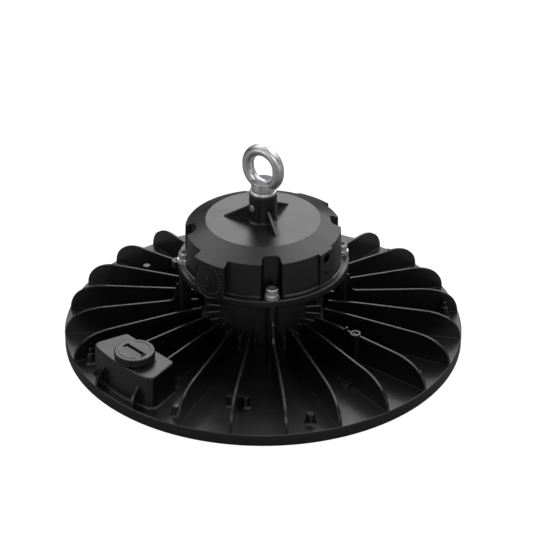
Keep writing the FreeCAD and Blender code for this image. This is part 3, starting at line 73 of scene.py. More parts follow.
class Graph:
    """Node tree of one material, with short calls to add and join nodes.

    Attributes:
        NOISE_ROUGHNESS: share of a noise's finer octaves.
        NOISE_RANGE: values between which a noise mostly lies.
        CORE_FADE: factor on the core's radius at which its coarseness has faded out.
        CORE_EXTRA: roughness that is added within the core.
        CORNER_SAMPLES: rays by which a rounded corner is found.
    """

    NOISE_ROUGHNESS = 0.55
    NOISE_RANGE = (0.3, 0.7)
    CORE_FADE = 1.08
    CORE_EXTRA = 0.3
    CORNER_SAMPLES = 6

    def __init__(self, name: str) -> None:
        """Makes an empty material.

        Args:
            name: the material's name.
        """
        self.material = bpy.data.materials.new(name)
        self.material.use_nodes = True
        self.tree = self.material.node_tree
        self.tree.nodes.clear()
        self.output = self.add("ShaderNodeOutputMaterial")
        self.shader = self.add("ShaderNodeBsdfPrincipled")
        self.join(self.shader, "BSDF", self.output, "Surface")

    def add(self, kind: str, **inputs: object) -> bpy.types.Node:
        """Adds a node.

        Args:
            kind: the node's type name.
            **inputs: values for its sockets, with spaces in their names as underscores.

        Returns:
            The new node.
        """
        node = self.tree.nodes.new(kind)
        for name, value in inputs.items():
            node.inputs[name.replace("_", " ")].default_value = value
        return node

    def join(self, source: bpy.types.Node, output: str, target: bpy.types.Node, socket: str) -> None:
        """Links one node's output to another's input.

        Args:
            source: node that gives the value.
            output: name of its output.
            target: node that takes the value.
            socket: name of its input.
        """
        self.tree.links.new(source.outputs[output], target.inputs[socket])

    def noise(self, size: float, detail: float = 2.0,
              stretch: tuple[float, float, float] = (1, 1, 1)) -> bpy.types.Node:
        """Adds a noise pattern on Object coordinates.

        Args:
            size: size of the pattern's grains in metres.
            detail: octaves of finer noise.
            stretch: scale along each axis, below 1 to lengthen the grains.

        Returns:
            The noise node.
        """
        place = self.add("ShaderNodeTexCoord")
        turn = self.add("ShaderNodeMapping", Scale=stretch)
        noise = self.add("ShaderNodeTexNoise", Scale=1.0 / size, Detail=detail, Roughness=self.NOISE_ROUGHNESS)
        self.join(place, "Object", turn, "Vector")
        self.join(turn, "Vector", noise, "Vector")
        return noise

    def spread(self, source: bpy.types.Node, low: float, high: float) -> bpy.types.Node:
        """Maps a noise to a range of values.

        Args:
            source: noise node.
            low: value where the noise is weak.
            high: value where the noise is strong.

        Returns:
            The range node.
        """
        least, most = self.NOISE_RANGE
        span = self.add("ShaderNodeMapRange", From_Min=least, From_Max=most, To_Min=low, To_Max=high)
        self.join(source, "Fac", span, "Value")
        return span

    def coarse_core(self, sheen: bpy.types.Node, radius: float) -> bpy.types.Node:
        """Makes the surface rougher near the upright axis.

        Args:
            sheen: node that gives the roughness elsewhere.
            radius: distance from the axis within which it is rougher, in metres.

        Returns:
            The node that gives the whole roughness.
        """
        place = self.add("ShaderNodeTexCoord")
        flat = self.add("ShaderNodeMapping", Scale=(1, 1, 0))
        reach = self.add("ShaderNodeVectorMath")
        reach.operation = "LENGTH"
        extra = self.add("ShaderNodeMapRange", From_Min=radius, From_Max=radius * self.CORE_FADE,
                         To_Min=self.CORE_EXTRA, To_Max=0.0)
        total = self.add("ShaderNodeMath")
        total.operation = "ADD"
        self.join(place, "Object", flat, "Vector")
        self.tree.links.new(flat.outputs["Vector"], reach.inputs[0])
        self.join(reach, "Value", extra, "Value")
        self.tree.links.new(sheen.outputs["Result"], total.inputs[0])
        self.tree.links.new(extra.outputs["Result"], total.inputs[1])
        return total

    def bump(self, source: bpy.types.Node, depth: float, edge: float) -> None:
        """Roughens the surface by a pattern.

        Args:
            source: noise node that gives the height.
            depth: height of the pattern in metres.
            edge: radius by which corners catch the light as if rounded, in metres, or 0 for none.
        """
        bump = self.add("ShaderNodeBump", Strength=1.0, Distance=depth)
        self.join(source, "Fac", bump, "Height")
        self.join(bump, "Normal", self.shader, "Normal")
        if edge:
            corner = self.add("ShaderNodeBevel", Radius=edge)
            corner.samples = self.CORNER_SAMPLES
            self.join(corner, "Normal", bump, "Normal")

    def tint(self, source: bpy.types.Node, colour: tuple[float, float, float], share: float) -> None:
        """Varies the base colour a little about its mean.

        Args:
            source: noise node.
            colour: mean colour.
            share: share of the colour by which it varies each way.
        """
        ramp = self.add("ShaderNodeValToRGB")
        for stop, factor in zip(ramp.color_ramp.elements, (1 - share, 1 + share)):
            stop.color = (*(min(1.0, c * factor) for c in colour), 1.0)
        ramp.color_ramp.elements[0].position, ramp.color_ramp.elements[1].position = self.NOISE_RANGE
        self.join(source, "Fac", ramp, "Fac")
        self.join(ramp, "Color", self.shader, "Base Color")


@dataclass(frozen=True)
class Finish:
    """A plain coated, moulded or metal surface with fine grain.

    Attributes:
        name: the material's name.
        slot: the record's slot it stands for; not used.
        colour: mean colour.
        roughness: mean roughness.
        metallic: 1 for bare metal.
        grain: size of the surface grain in metres.
        depth: height of the grain in metres.
        stretch: scale of the grain along each axis.
        vary: share by which the colour varies.
        blotch: size of the slow changes in tone, in metres.
        blotch_detail: octaves of finer noise in them.
        uneven: share by which the roughness varies.
        specular: strength of the plain reflection.
        edge: radius of the corners' highlights in metres, or 0 for none.
        core: distance from the upright axis within which the surface is coarse, in metres, or 0 for none.
    """

    name: str
    slot: str
    colour: tuple[float, float, float]
    roughness: float
    metallic: float = 0.0
    grain: float = 0.0006
    depth: float = 0.00001
    stretch: tuple[float, float, float] = (1.0, 1.0, 1.0)
    vary: float = 0.12
    blotch: float = 0.02
    blotch_detail: float = 3.0
    uneven: float = 0.08
    specular: float = 0.5
    edge: float = 0.0
    core: float = 0.0

    def material(self) -> bpy.types.Material:
        """Builds the node material, or returns the one built before."""
        found = bpy.data.materials.get(self.name)
        if found is not None:
            return found
        graph = Graph(self.name)
        shader = graph.shader
        shader.inputs["Metallic"].default_value = self.metallic
        shader.inputs["Specular IOR Level"].default_value = self.specular
        slow = graph.noise(self.blotch, self.blotch_detail)
        graph.tint(slow, self.colour, self.vary)
        sheen = graph.spread(slow, self.roughness * (1 - self.uneven), self.roughness * (1 + self.uneven))
        if self.core:
            graph.join(graph.coarse_core(sheen, self.core), "Value", shader, "Roughness")
        else:
            graph.join(sheen, "Result", shader, "Roughness")
        fine = graph.noise(self.grain, stretch=self.stretch)
        graph.bump(fine, self.depth, self.edge)
        return graph.material


CAST = Finish("powder_coat", "cast_black", Paint.CAST_BLACK.value, 0.33, grain=0.0009, depth=0.000012, specular=0.85,
              edge=0.0008)
SINK = replace(CAST, name="powder_coat_sink", core=0.052)
# painted highlight: a lighter copy of the cast coat for the dial's marks, standing in for light that catches them
TICK_HIGHLIGHT = replace(CAST, name="powder_coat_painted_highlight", colour=Paint.TICK_HIGHLIGHT_BLACK.value, edge=0.00015)
STEEL = Finish("bright_steel", "steel", (0.72, 0.72, 0.73), 0.24, metallic=1.0, grain=0.0005, depth=0.000003,
               vary=0.04)
BRIGHT = Finish("forged_bright", "steel", (0.85, 0.85, 0.86), 0.38, metallic=1.0, grain=0.0004, depth=0.000004,
                vary=0.03)
# painted shade: a dark copy of the steel for the level faces of the eyebolt and screws, standing in for shade on
# them
LEVEL_SHADE_STEEL = Finish("steel_painted_shade", "steel", (0.16, 0.16, 0.165), 0.5, metallic=1.0, grain=0.0005, depth=0.000006,
               vary=0.05)
SATIN = Finish("satin_steel", "steel", (0.82, 0.82, 0.83), 0.38, metallic=1.0, grain=0.0005, depth=0.000004,
               vary=0.05)
CAP = Finish("cap_plastic", "cap_black", Paint.CAP_BLACK.value, 0.34, grain=0.0004, depth=0.000012, specular=0.85,
             edge=0.0002)
RUBBER = Finish("seal_rubber", "seal", Paint.SEAL_BLACK.value, 0.75, grain=0.0006, depth=0.00002)
SILICONE = Finish("silicone", "silicone", Paint.SILICONE.value, 0.5)
BOARD = Finish("white_board", "board_white", Paint.BOARD_WHITE.value, 0.35, vary=0.03)
PHOSPHOR = Finish("phosphor", "chip", Paint.PHOSPHOR.value, 0.5, vary=0.1, blotch=0.002)
PLATE = Finish("rolled_plate", "plate", (0.72, 0.73, 0.74), 0.38, metallic=1.0, stretch=(1.0, 0.05, 1.0), vary=0.05)
LEAD = Finish("lead_red", "lead_red", Paint.LEAD_RED.value, 0.45)
CIRCUIT = Finish("circuit_green", "circuit_green", Paint.CIRCUIT_GREEN.value, 0.4, blotch=0.004, vary=0.3)
FERRITE = Finish("ferrite", "ferrite", Paint.FERRITE.value, 0.6)
WINDING = Finish("winding", "winding", Paint.WINDING.value, 0.5, stretch=(0.2, 0.2, 1.0))
CAN = Finish("can_sleeve", "can", Paint.CAN_BLUE.value, 0.35)
TERMINAL = Finish("terminal", "terminal", Paint.TERMINAL_GREEN.value, 0.5)
BRASS = Finish("brass", "brass", (0.72, 0.5, 0.2), 0.3, metallic=1.0)
PAPER = Finish("pale_floor", "", (0.22, 0.22, 0.22), 0.7, vary=0.01, blotch=0.5, specular=0.1)


@dataclass(frozen=True)
class ClearPlastic:
    """Clear moulded plastic of the lens.

    Attributes:
        name: the material's name.
        slot: the record's slot it stands for; not used.
        colour: mean colour.
        vary: share by which the colour varies.
        blotch: size of the slow changes in tone, in metres.
        roughness: mean roughness of the surface.
        uneven: share by which the roughness varies.
        ior: index of refraction.
    """

    name: str = "clear_lens"
    slot: str = "clear_lens"
    colour: tuple[float, float, float] = (0.93, 0.95, 0.96)
    vary: float = 0.02
    blotch: float = 0.03
    roughness: float = 0.06
    uneven: float = 0.2
    ior: float = 1.58

    def material(self) -> bpy.types.Material:
        """Builds the node material, or returns the one built before."""
        found = bpy.data.materials.get(self.name)
        if found is not None:
            return found
        graph = Graph(self.name)
        shader = graph.shader
        shader.inputs["Transmission Weight"].default_value = 1.0
        shader.inputs["IOR"].default_value = self.ior
        slow = graph.noise(self.blotch)
        graph.tint(slow, self.colour, self.vary)
        sheen = graph.spread(slow, self.roughness * (1 - self.uneven), self.roughness * (1 + self.uneven))
        graph.join(sheen, "Result", shader, "Roughness")
        return graph.material


LENS = ClearPlastic()

NODE_FINISHES = {
    "heat_sink": SINK, "driver_housing": CAST, "lens_plate": LENS, "lens_gasket": SILICONE, "lens_screws": STEEL,
    "led_board": BOARD, "led_board_screws": STEEL, "led_chips": PHOSPHOR, "led_leads": LEAD,
    "driver_base_plate": PLATE, "housing_gasket": RUBBER, "drum_gasket": RUBBER, "wire_grommet": RUBBER,
    "housing_screws": SATIN, "flat_washers": SATIN, "spring_washers": SATIN, "eyebolt": BRIGHT,
    "eyebolt_lock_screw": SATIN, "sensor_socket": CAP, "socket_contacts": BRASS, "sensor_plug": CAP,
    "plug_seal": RUBBER, "driver_board": CIRCUIT, "driver_standoffs": BRASS, "driver_board_screws": STEEL,
    "transformer_core": FERRITE, "transformer_winding": WINDING, "filter_choke": FERRITE, "capacitors": CAN,
    "terminal_block": TERMINAL,
}


def dress(piece: bpy.types.Object, finish: Finish | ClearPlastic) -> None:
    """Gives a piece one finish.

    Args:
        piece: mesh object.
        finish: its finish.
    """
    piece.data.materials.clear()
    piece.data.materials.append(finish.material())


def only(items: list, kind: type) -> list:
    """Picks the parts of one kind, such as edges, out of mixed geometry."""
    return [item for item in items if isinstance(item, kind)]


@dataclass(frozen=True)
class Maker:
    """Calls that all pieces share, with lengths in millimetres until a piece is finished.

    Attributes:
        socket_sides: number of sides of a screw's socket.
        join_gap: distance below which points are merged.
        flat_angle: angle in degrees below which neighbouring facets of a CAD mesh count as one face.
        sharp_angle: angle in degrees above which an edge stays sharp.
        level: upright share of a face's normal from which the face counts as level and is shaded flat.
    """

    socket_sides: int = 6
    join_gap: float = 0.002
    flat_angle: float = 0.02
    sharp_angle: float = 32.0
    level: float = 0.9999

    def spun(self, points: tuple[tuple[float, float], ...], steps: int = 96) -> bmesh.types.BMesh:
        """Turns a profile once round the upright axis.

        Args:
            points: radius and height of each point of the profile.
            steps: number of steps of the turn.

        Returns:
            The new bmesh.
        """
        bm = bmesh.new()
        verts = [bm.verts.new((radius, 0, height)) for radius, height in points]
        edges = [bm.edges.new(pair) for pair in zip(verts, verts[1:])]
        bmesh.ops.spin(bm, geom=verts + edges, cent=(0, 0, 0), axis=(0, 0, 1), dvec=(0, 0, 0), angle=math.tau,
                       steps=steps, use_merge=True)
        bmesh.ops.remove_doubles(bm, verts=bm.verts, dist=self.join_gap)
        return bm

    def rim(self, bm: bmesh.types.BMesh, radius: float, height: float) -> list[bmesh.types.BMEdge]:
        """Finds the edges of a circle round the upright axis.

        Args:
            bm: bmesh to search.
            radius: the circle's radius.
            height: the circle's height.

        Returns:
            Its edges.
        """
        def on_rim(vert: bmesh.types.BMVert) -> bool:
            """Whether a point lies on the circle."""
            return abs(vert.co.z - height) < self.join_gap and abs(vert.co.xy.length - radius) < self.join_gap

        return [edge for edge in bm.edges if all(on_rim(vert) for vert in edge.verts)]

    def round_off(self, bm: bmesh.types.BMesh, edges: list[bmesh.types.BMEdge], width: float, segments: int) -> None:
        """Rounds edges off.

        Args:
            bm: bmesh that holds them.
            edges: the edges.
            width: width of the rounding.
            segments: number of its facets.
        """
        bmesh.ops.bevel(bm, geom=edges, offset=width, offset_type="OFFSET", segments=segments, profile=0.5,
                        affect="EDGES", clamp_overlap=True, material=-1)

    def cut_socket(self, bm: bmesh.types.BMesh, rim: list[bmesh.types.BMEdge], across: float, top: float,
                   depth: float) -> None:
        """Closes a round rim with a flat ring and a six-sided socket.

        Args:
            bm: bmesh that holds the rim.
            rim: edges of the rim, a multiple of six.
            across: width across the socket's flats.
            top: height of the flat ring.
            depth: depth of the socket.
        """
        before = set(bm.edges)
        bmesh.ops.create_circle(bm, segments=self.socket_sides, radius=across / math.sqrt(3),
                                matrix=Matrix.Translation((0, 0, top)))
        sides = [edge for edge in bm.edges if edge not in before]
        bmesh.ops.subdivide_edges(bm, edges=sides, cuts=len(rim) // self.socket_sides - 1)
        sides = [edge for edge in bm.edges if edge not in before]
        bmesh.ops.bridge_loops(bm, edges=rim + sides)
        grown = bmesh.ops.extrude_edge_only(bm, edges=sides)["geom"]
        bmesh.ops.translate(bm, verts=only(grown, bmesh.types.BMVert), vec=(0, 0, -depth))
        bmesh.ops.contextual_create(bm, geom=only(grown, bmesh.types.BMEdge))

    def merged_copy(self, name: str) -> bmesh.types.BMesh:
        """Copies a CAD node's mesh with its points merged and its flat faces joined.

        Args:
            name: the node's name.

        Returns:
            The new bmesh in millimetres.
        """
        bm = bmesh.new()
        bm.from_mesh(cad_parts[name].data)
        bmesh.ops.scale(bm, vec=(1 / MM, 1 / MM, 1 / MM), verts=bm.verts)
        bmesh.ops.remove_doubles(bm, verts=bm.verts, dist=self.join_gap)
        bmesh.ops.dissolve_limit(bm, angle_limit=math.radians(self.flat_angle), verts=bm.verts, edges=bm.edges)
        return bm

    def combined(self, base: bmesh.types.BMesh, tool: bmesh.types.BMesh, operation: str) -> bmesh.types.BMesh:
        """Unites two closed shapes, or cuts one from the other.

        Args:
            base: the first shape, which is freed.
            tool: the second shape, which is freed.
            operation: UNION or DIFFERENCE.

        Returns:
            The resulting bmesh.
        """
        pieces = []
        for name, bm in (("base", base), ("tool", tool)):
            bmesh.ops.recalc_face_normals(bm, faces=bm.faces)
            mesh = bpy.data.meshes.new(name)
            bm.to_mesh(mesh)
            bm.free()
            pieces.append(bpy.data.objects.new(name, mesh))
            bpy.context.scene.collection.objects.link(pieces[-1])
        step = pieces[0].modifiers.new("combine", "BOOLEAN")
        step.object = pieces[1]
        step.operation = operation
        step.solver = "EXACT"
        graph = bpy.context.evaluated_depsgraph_get()
        mesh = bpy.data.meshes.new_from_object(pieces[0].evaluated_get(graph))
        result = bmesh.new()
        result.from_mesh(mesh)
        bpy.data.meshes.remove(mesh)
        for piece in pieces:
            old = piece.data
            bpy.data.objects.remove(piece)
            bpy.data.meshes.remove(old)
        return result

    def finish(self, bm: bmesh.types.BMesh, name: str, finish: Finish | ClearPlastic, body: str,
               *nodes: str, level_shade_finish: Finish | None = None) -> bpy.types.Object:
        """Turns a bmesh into a dressed piece.

        Args:
            bm: the shape in millimetres, which is freed.
            name: the piece's name.
            finish: its finish.
            body: body it moves with.
            *nodes: CAD nodes it takes the place of.
            level_shade_finish: painted shade, a darker finish for its level faces, upright or downward, where given.

        Returns:
            The new object.
        """
        bmesh.ops.remove_doubles(bm, verts=bm.verts, dist=self.join_gap)
        bmesh.ops.recalc_face_normals(bm, faces=bm.faces)
        bmesh.ops.scale(bm, vec=(MM, MM, MM), verts=bm.verts)
        mesh = bpy.data.meshes.new(name)
        bm.to_mesh(mesh)
        bm.free()
        mesh.set_sharp_from_angle(angle=math.radians(self.sharp_angle))
        for face in mesh.polygons:
            face.use_smooth = abs(face.normal.z) < self.level
        piece = bpy.data.objects.new(name, mesh)
        bpy.context.scene.collection.objects.link(piece)
        dress(piece, finish)
        # painted shade: level faces take the darker copy of the finish
        if level_shade_finish is not None:
            mesh.materials.append(level_shade_finish.material())
            for face in mesh.polygons:
                face.material_index = int(not face.use_smooth)
        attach(piece, body)
        if nodes:
            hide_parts(*nodes)
        LOG.info("%s: %d faces", name, len(mesh.polygons))
        return piece


MAKER = Maker()


@dataclass
class Eyebolt:
    """Forged ring bolt on top of the housing.

    Attributes:
        base: height of the collar's underside.
        shank_r: radius of the shank.
        shank_l: length of the shank.
        tip: chamfer at its end.
        collar_r: radius of the collar.
        collar_h: height of the collar.
        collar_round: rounding of the collar's edges.
        collar_facets: facets across that rounding.
        groove: depth and height of the groove between collar and neck.
        neck_r: radius of the neck.
        neck_top: height of the neck's top over the collar's underside.
        neck_edge: rounding of the neck's rim.
        neck_facets: facets across that rounding.
        ring_r: radius of the ring's middle line.
        tube_r: radius of the ring's round bar.
        ring_low: height of the lower half ring's centre.
        straight: length of the straight sides between the half rings.
        turn: turn of the ring about the upright axis, in degrees.
        bar_sides: facets round the bar.
        half_steps: steps of each half ring.
    """

    base: float = 136.0
    shank_r: float = 5.0
    shank_l: float = 15.0
    tip: float = 1.0
    collar_r: float = 11.35
    collar_h: float = 3.4
    collar_round: float = 1.45
    collar_facets: int = 5
    groove: tuple[float, float] = (0.35, 0.3)
    neck_r: float = 10.0
    neck_top: float = 12.0
    neck_edge: float = 0.3
    neck_facets: int = 3
    ring_r: float = 15.0
    tube_r: float = 4.85
    ring_low: float = 158.5
    straight: float = 2.0
    turn: float = 4.4
    bar_sides: int = 64
    half_steps: int = 56

    def ring(self) -> bmesh.types.BMesh:
        """Builds the slightly tall ring.

        Returns:
            The closed ring as a bmesh.
        """
        bm = bmesh.new()
        place = Matrix.Translation((self.ring_r, 0, self.ring_low))
        bmesh.ops.create_circle(bm, segments=self.bar_sides, radius=self.tube_r, matrix=place)
        loop = list(bm.verts) + list(bm.edges)
        for lift, centre in ((self.straight, self.ring_low + self.straight), (-self.straight, self.ring_low)):
            loop = bmesh.ops.extrude_edge_only(bm, edges=only(loop, bmesh.types.BMEdge))["geom"]
            bmesh.ops.translate(bm, verts=only(loop, bmesh.types.BMVert), vec=(0, 0, lift))
            loop = [item for item in loop if not isinstance(item, bmesh.types.BMFace)]
            loop = bmesh.ops.spin(bm, geom=loop, cent=(0, 0, centre), axis=(0, -1, 0), dvec=(0, 0, 0), angle=math.pi,
                                  steps=self.half_steps)["geom_last"]
        bmesh.ops.remove_doubles(bm, verts=bm.verts, dist=MAKER.join_gap)
        bmesh.ops.rotate(bm, verts=bm.verts, cent=(0, 0, 0), matrix=Matrix.Rotation(math.radians(self.turn), 3, "Z"))
        return bm

    def body(self) -> bmesh.types.BMesh:
        """Builds the shank, collar and neck.

        Returns:
            The closed body as a bmesh.
        """
        low = self.base - self.shank_l
        collar_top = self.base + self.collar_h
        top = self.base + self.neck_top
        depth, height = self.groove
        bm = MAKER.spun((
            (0, low), (self.shank_r - self.tip, low), (self.shank_r, low + self.tip), (self.shank_r, self.base),
            (self.collar_r, self.base), (self.collar_r, collar_top), (self.neck_r - depth, collar_top),
            (self.neck_r - depth, collar_top + height), (self.neck_r, collar_top + height + depth),
            (self.neck_r, top), (0, top)))
        for height in (self.base, collar_top):
            MAKER.round_off(bm, MAKER.rim(bm, self.collar_r, height), self.collar_round, self.collar_facets)
        MAKER.round_off(bm, MAKER.rim(bm, self.neck_r, top), self.neck_edge, self.neck_facets)
        return bm

    def build(self) -> None:
        """Unites ring and body and puts the piece in the model."""
        # its level faces get the darker painted-shade steel
        MAKER.finish(MAKER.combined(self.body(), self.ring(), "UNION"), "eyebolt_forged", BRIGHT, FIXTURE, "eyebolt",
                     level_shade_finish=LEVEL_SHADE_STEEL)


@dataclass
class SocketScrews:
    """Screws with a six-sided socket that hold the housing, and the one that locks the eyebolt.

    Attributes:
        pitch_r: distance of the housing's screws from the axis.
        first: angle of the first screw in degrees.
        count: number of screws.
        seat: height of the heads' undersides.
        head_r: radius of a head.
        head_h: height of a head.
        shank_r: radius of a shank.
        shank_l: length of a shank.
        socket: width across the flats of a socket.
        edge: rounding of a head's rim.
        knurl: share by which the grooves round a head stand in.
        steps: facets round a screw, a multiple of twelve.
        lock_angle: angle at which the lock screw points, in degrees.
        lock_z: height of the lock screw.
        lock_span: distances of its ends from the axis.
        lock_r: radius of the lock screw.
    """

    pitch_r: float = 66.5
    first: float = 45.0
    count: int = 4
    seat: float = 77.9
    head_r: float = 5.0
    head_h: float = 6.0
    shank_r: float = 3.0
    shank_l: float = 30.0
    socket: float = 5.0
    edge: float = 0.7
    knurl: float = 0.018
    steps: int = 96
    lock_angle: float = -105.0
    lock_z: float = 125.2
    lock_span: tuple[float, float] = (5.05, 12.4)
    lock_r: float = 3.0

    def screw(self) -> bmesh.types.BMesh:
        """Builds one housing screw on the upright axis.

        Returns:
            The closed screw as a bmesh.
        """
        low = self.seat - self.shank_l
        top = self.seat + self.head_h
        flat_r = self.head_r - self.edge
        bm = MAKER.spun((
            (0, low), (self.shank_r - self.edge, low), (self.shank_r, low + self.edge), (self.shank_r, self.seat),
            (self.head_r, self.seat), (self.head_r, top - self.edge), (flat_r, top)), self.steps)
        grooves = [vert for vert in bm.verts if abs(vert.co.xy.length - self.head_r) < MAKER.join_gap]
        turns = [round(math.atan2(vert.co.y, vert.co.x) / math.tau * self.steps) for vert in grooves]
        inner = [vert for vert, turn in zip(grooves, turns) if turn % 2]
        bmesh.ops.scale(bm, vec=(1 - self.knurl, 1 - self.knurl, 1), verts=inner)
        MAKER.cut_socket(bm, MAKER.rim(bm, flat_r, top), self.socket, top, self.head_h / 2)
        return bm

    def lock(self) -> bmesh.types.BMesh:
        """Builds the lock screw in its place in the eyebolt's boss.

        Returns:
            The closed screw as a bmesh.
        """
        start, stop = self.lock_span
        edge = self.edge / 2
        bm = MAKER.spun((
            (0, start), (self.lock_r - self.edge, start), (self.lock_r, start + self.edge),
            (self.lock_r, stop - edge), (self.lock_r - edge, stop)), self.steps)
        MAKER.cut_socket(bm, MAKER.rim(bm, self.lock_r - edge, stop), self.lock_r, stop, (stop - start) / 2)
        turn = Matrix.Rotation(math.radians(self.lock_angle), 4, "Z") @ Matrix.Rotation(math.pi / 2, 4, "Y")
        bmesh.ops.transform(bm, verts=bm.verts, matrix=Matrix.Translation((0, 0, self.lock_z)) @ turn)
        return bm

    def build(self) -> None:
        """Puts the four housing screws and the lock screw in the model."""
        whole = bmesh.new()
        for index in range(self.count):
            angle = math.radians(self.first + FULL_TURN * index / self.count)
            one = self.screw()
            place = (self.pitch_r * math.cos(angle), self.pitch_r * math.sin(angle), 0)
            bmesh.ops.translate(one, verts=one.verts, vec=place)
            mesh = bpy.data.meshes.new("screw")
            one.to_mesh(mesh)
            one.free()
            whole.from_mesh(mesh)
            bpy.data.meshes.remove(mesh)
        # the heads' level faces and socket floors get the darker painted-shade steel
        MAKER.finish(whole, "socket_head_screws", SATIN, FIXTURE, "housing_screws", level_shade_finish=LEVEL_SHADE_STEEL)
        MAKER.finish(self.lock(), "boss_lock_screw", SATIN, FIXTURE, "eyebolt_lock_screw")


@dataclass
class SensorCap:
    """Turning cap on the sensor box: knurled grip with a coin slot and engraved turning marks.

    Attributes:
        centre: the cap's middle in plan.
        turn: angle from +X of the cap's outward side, in degrees.
        radius: radius of the grip.
        top: height of its top face.
        groove_r: radius of the groove under the grip.
        groove: heights of the seam in the groove and of the groove's top.
        root: depth to which the grip reaches into the lower part.
        edge: rounding of the top rim.
        edge_facets: facets across that rounding.
        low_edge: chamfer of the grip's lower rim.
        knurls: number of notches.
        facets: facets from notch to notch.
        notch: shares by which the facets' corners stand in, from the middle of a notch.
        slot: half width, half length and depth of the shallow recess.
        deep: near side, far side, ends and depth of the coin slot.
        line: width of the line round the recess.
        depth: depth of the marks.
        width: width of the marks.
        arcs: radius, start and end of each mark in degrees.
        head: size of the arrow heads.
        arc_steps: steps of each mark.
    """

    centre: tuple[float, float] = (-18.223, -143.246)
    turn: float = -97.25
    radius: float = 16.7
    top: float = 46.0
    groove_r: float = 15.7
    groove: tuple[float, float] = (41.5, 41.95)
    root: float = 0.5
    edge: float = 0.6
    edge_facets: int = 3
    low_edge: float = 0.2
    knurls: int = 40
    facets: int = 6
    notch: tuple[float, ...] = (0.048, 0.03, 0.004, 0.0, 0.004, 0.03)
    slot: tuple[float, float, float] = (2.75, 11.0, 0.35)
    deep: tuple[float, float, tuple[float, float], float] = (-2.35, 0.25, (-10.2, 10.2), 3.2)
    line: float = 0.4
    depth: float = 0.5
    width: float = 0.5
    arcs: tuple[tuple[float, float, float], ...] = ((13.0, -131.0, -50.0), (12.8, 132.0, 38.0))
    head: float = 1.1
    arc_steps: int = 40

    def grip(self) -> bmesh.types.BMesh:
        """Builds the knurled grip round the upright axis.

        Returns:
            The closed grip as a bmesh.
        """
        seam, low = self.groove
        steps = self.knurls * self.facets
        bm = MAKER.spun((
            (0, seam - self.root), (self.groove_r, seam - self.root), (self.groove_r, low),
            (self.radius - self.low_edge, low), (self.radius, low + self.low_edge), (self.radius, self.top),
            (0, self.top)), steps)
        MAKER.round_off(bm, MAKER.rim(bm, self.radius, self.top), self.edge, self.edge_facets)
        outer = [vert for vert in bm.verts if vert.co.xy.length > self.radius - self.edge - MAKER.join_gap]
        turns = [round(math.atan2(vert.co.y, vert.co.x) / math.tau * steps) % self.facets for vert in outer]
        for part, share in enumerate(self.notch):
            verts = [vert for vert, turn in zip(outer, turns) if turn == part]
            bmesh.ops.scale(bm, vec=(1 - share, 1 - share, 1), verts=verts)
        return bm

    def lower_part(self) -> bmesh.types.BMesh:
        """Copies the cap's lip, neck and lugs below the groove.

        Returns:
            The closed lower part as a bmesh, moved back to the upright axis.
        """
        bm = MAKER.merged_copy("sensor_plug")
        everything = list(bm.verts) + list(bm.edges) + list(bm.faces)
        cut = bmesh.ops.bisect_plane(bm, geom=everything, plane_co=(0, 0, self.groove[0]), plane_no=(0, 0, 1),
                                     clear_outer=True)["geom_cut"]
        bmesh.ops.contextual_create(bm, geom=only(cut, bmesh.types.BMEdge))
        bmesh.ops.translate(bm, verts=bm.verts, vec=(-self.centre[0], -self.centre[1], 0))
        return bm

    def block(self, near: float, far: float, ends: tuple[float, float], depth: float) -> bmesh.types.BMesh:
        """Builds the block that a slot is cut with.

        Args:
            near: side of the slot towards the light's axis.
            far: its outer side.
            ends: places of its two ends along the slot.
            depth: its depth.

        Returns:
            The closed block as a bmesh.
        """
        bm = bmesh.new()
        place = (Matrix.Rotation(math.radians(self.turn), 4, "Z")
                 @ Matrix.Translation(((near + far) / 2, sum(ends) / 2, self.top))
                 @ Matrix.Diagonal((far - near, ends[1] - ends[0], 2 * depth, 1)))
        bmesh.ops.create_cube(bm, size=1.0, matrix=place)
        return bm

    def marks(self) -> tuple[bmesh.types.BMesh, bmesh.types.BMesh]:
        """Builds the shapes that the marks are cut with.

        Returns:
            The arcs, and the arrow heads at their ends.
        """
        arcs = bmesh.new()
        heads = bmesh.new()
        for radius, start, stop in self.arcs:
            across = (radius - self.width / 2, radius + self.width / 2)
            corners = ((across[0], -self.depth), (across[1], -self.depth), (across[1], self.depth),
                       (across[0], self.depth))
            face = arcs.faces.new([arcs.verts.new((x, 0, z)) for x, z in corners])
            first = Matrix.Rotation(math.radians(start), 3, "Z")
            bmesh.ops.rotate(arcs, verts=face.verts, cent=(0, 0, 0), matrix=first)
            bmesh.ops.spin(arcs, geom=[face, *face.edges, *face.verts], cent=(0, 0, 0), axis=(0, 0, 1),
                           dvec=(0, 0, 0), angle=math.radians(stop - start), steps=self.arc_steps)
            way = 0.0 if stop > start else -HALF_TURN
            place = (Matrix.Rotation(math.radians(stop), 4, "Z") @ Matrix.Translation((radius, 0, 0))
                     @ Matrix.Rotation(math.radians(way), 4, "Z"))
            bmesh.ops.create_cone(heads, cap_ends=True, segments=3, radius1=self.head, radius2=self.head,
                                  depth=2 * self.depth, matrix=place)
        for bm in (arcs, heads):
            bmesh.ops.translate(bm, verts=bm.verts, vec=(0, 0, self.top))
        return arcs, heads

    def build(self) -> None:
        """Joins the two parts, cuts slots and marks, and puts the piece in the model."""
        half_w, half_l, shallow = self.slot
        cap = MAKER.combined(self.lower_part(), self.grip(), "UNION")
        grooves = (self.block(half_w - self.line, half_w, (-half_l, half_l), self.depth + shallow),
                   self.block(-half_w, half_w, (half_l - self.line, half_l), self.depth + shallow),
                   self.block(-half_w, half_w, (-half_l, self.line - half_l), self.depth + shallow))
        recess = self.block(-half_w, half_w, (-half_l, half_l), shallow)
        for tool in (recess, *grooves, self.block(*self.deep), *self.marks()):
            cap = MAKER.combined(cap, tool, "DIFFERENCE")
        bmesh.ops.translate(cap, verts=cap.verts, vec=(*self.centre, 0))
        MAKER.finish(cap, "knurled_cap", CAP, CAP_BODY, "sensor_plug")


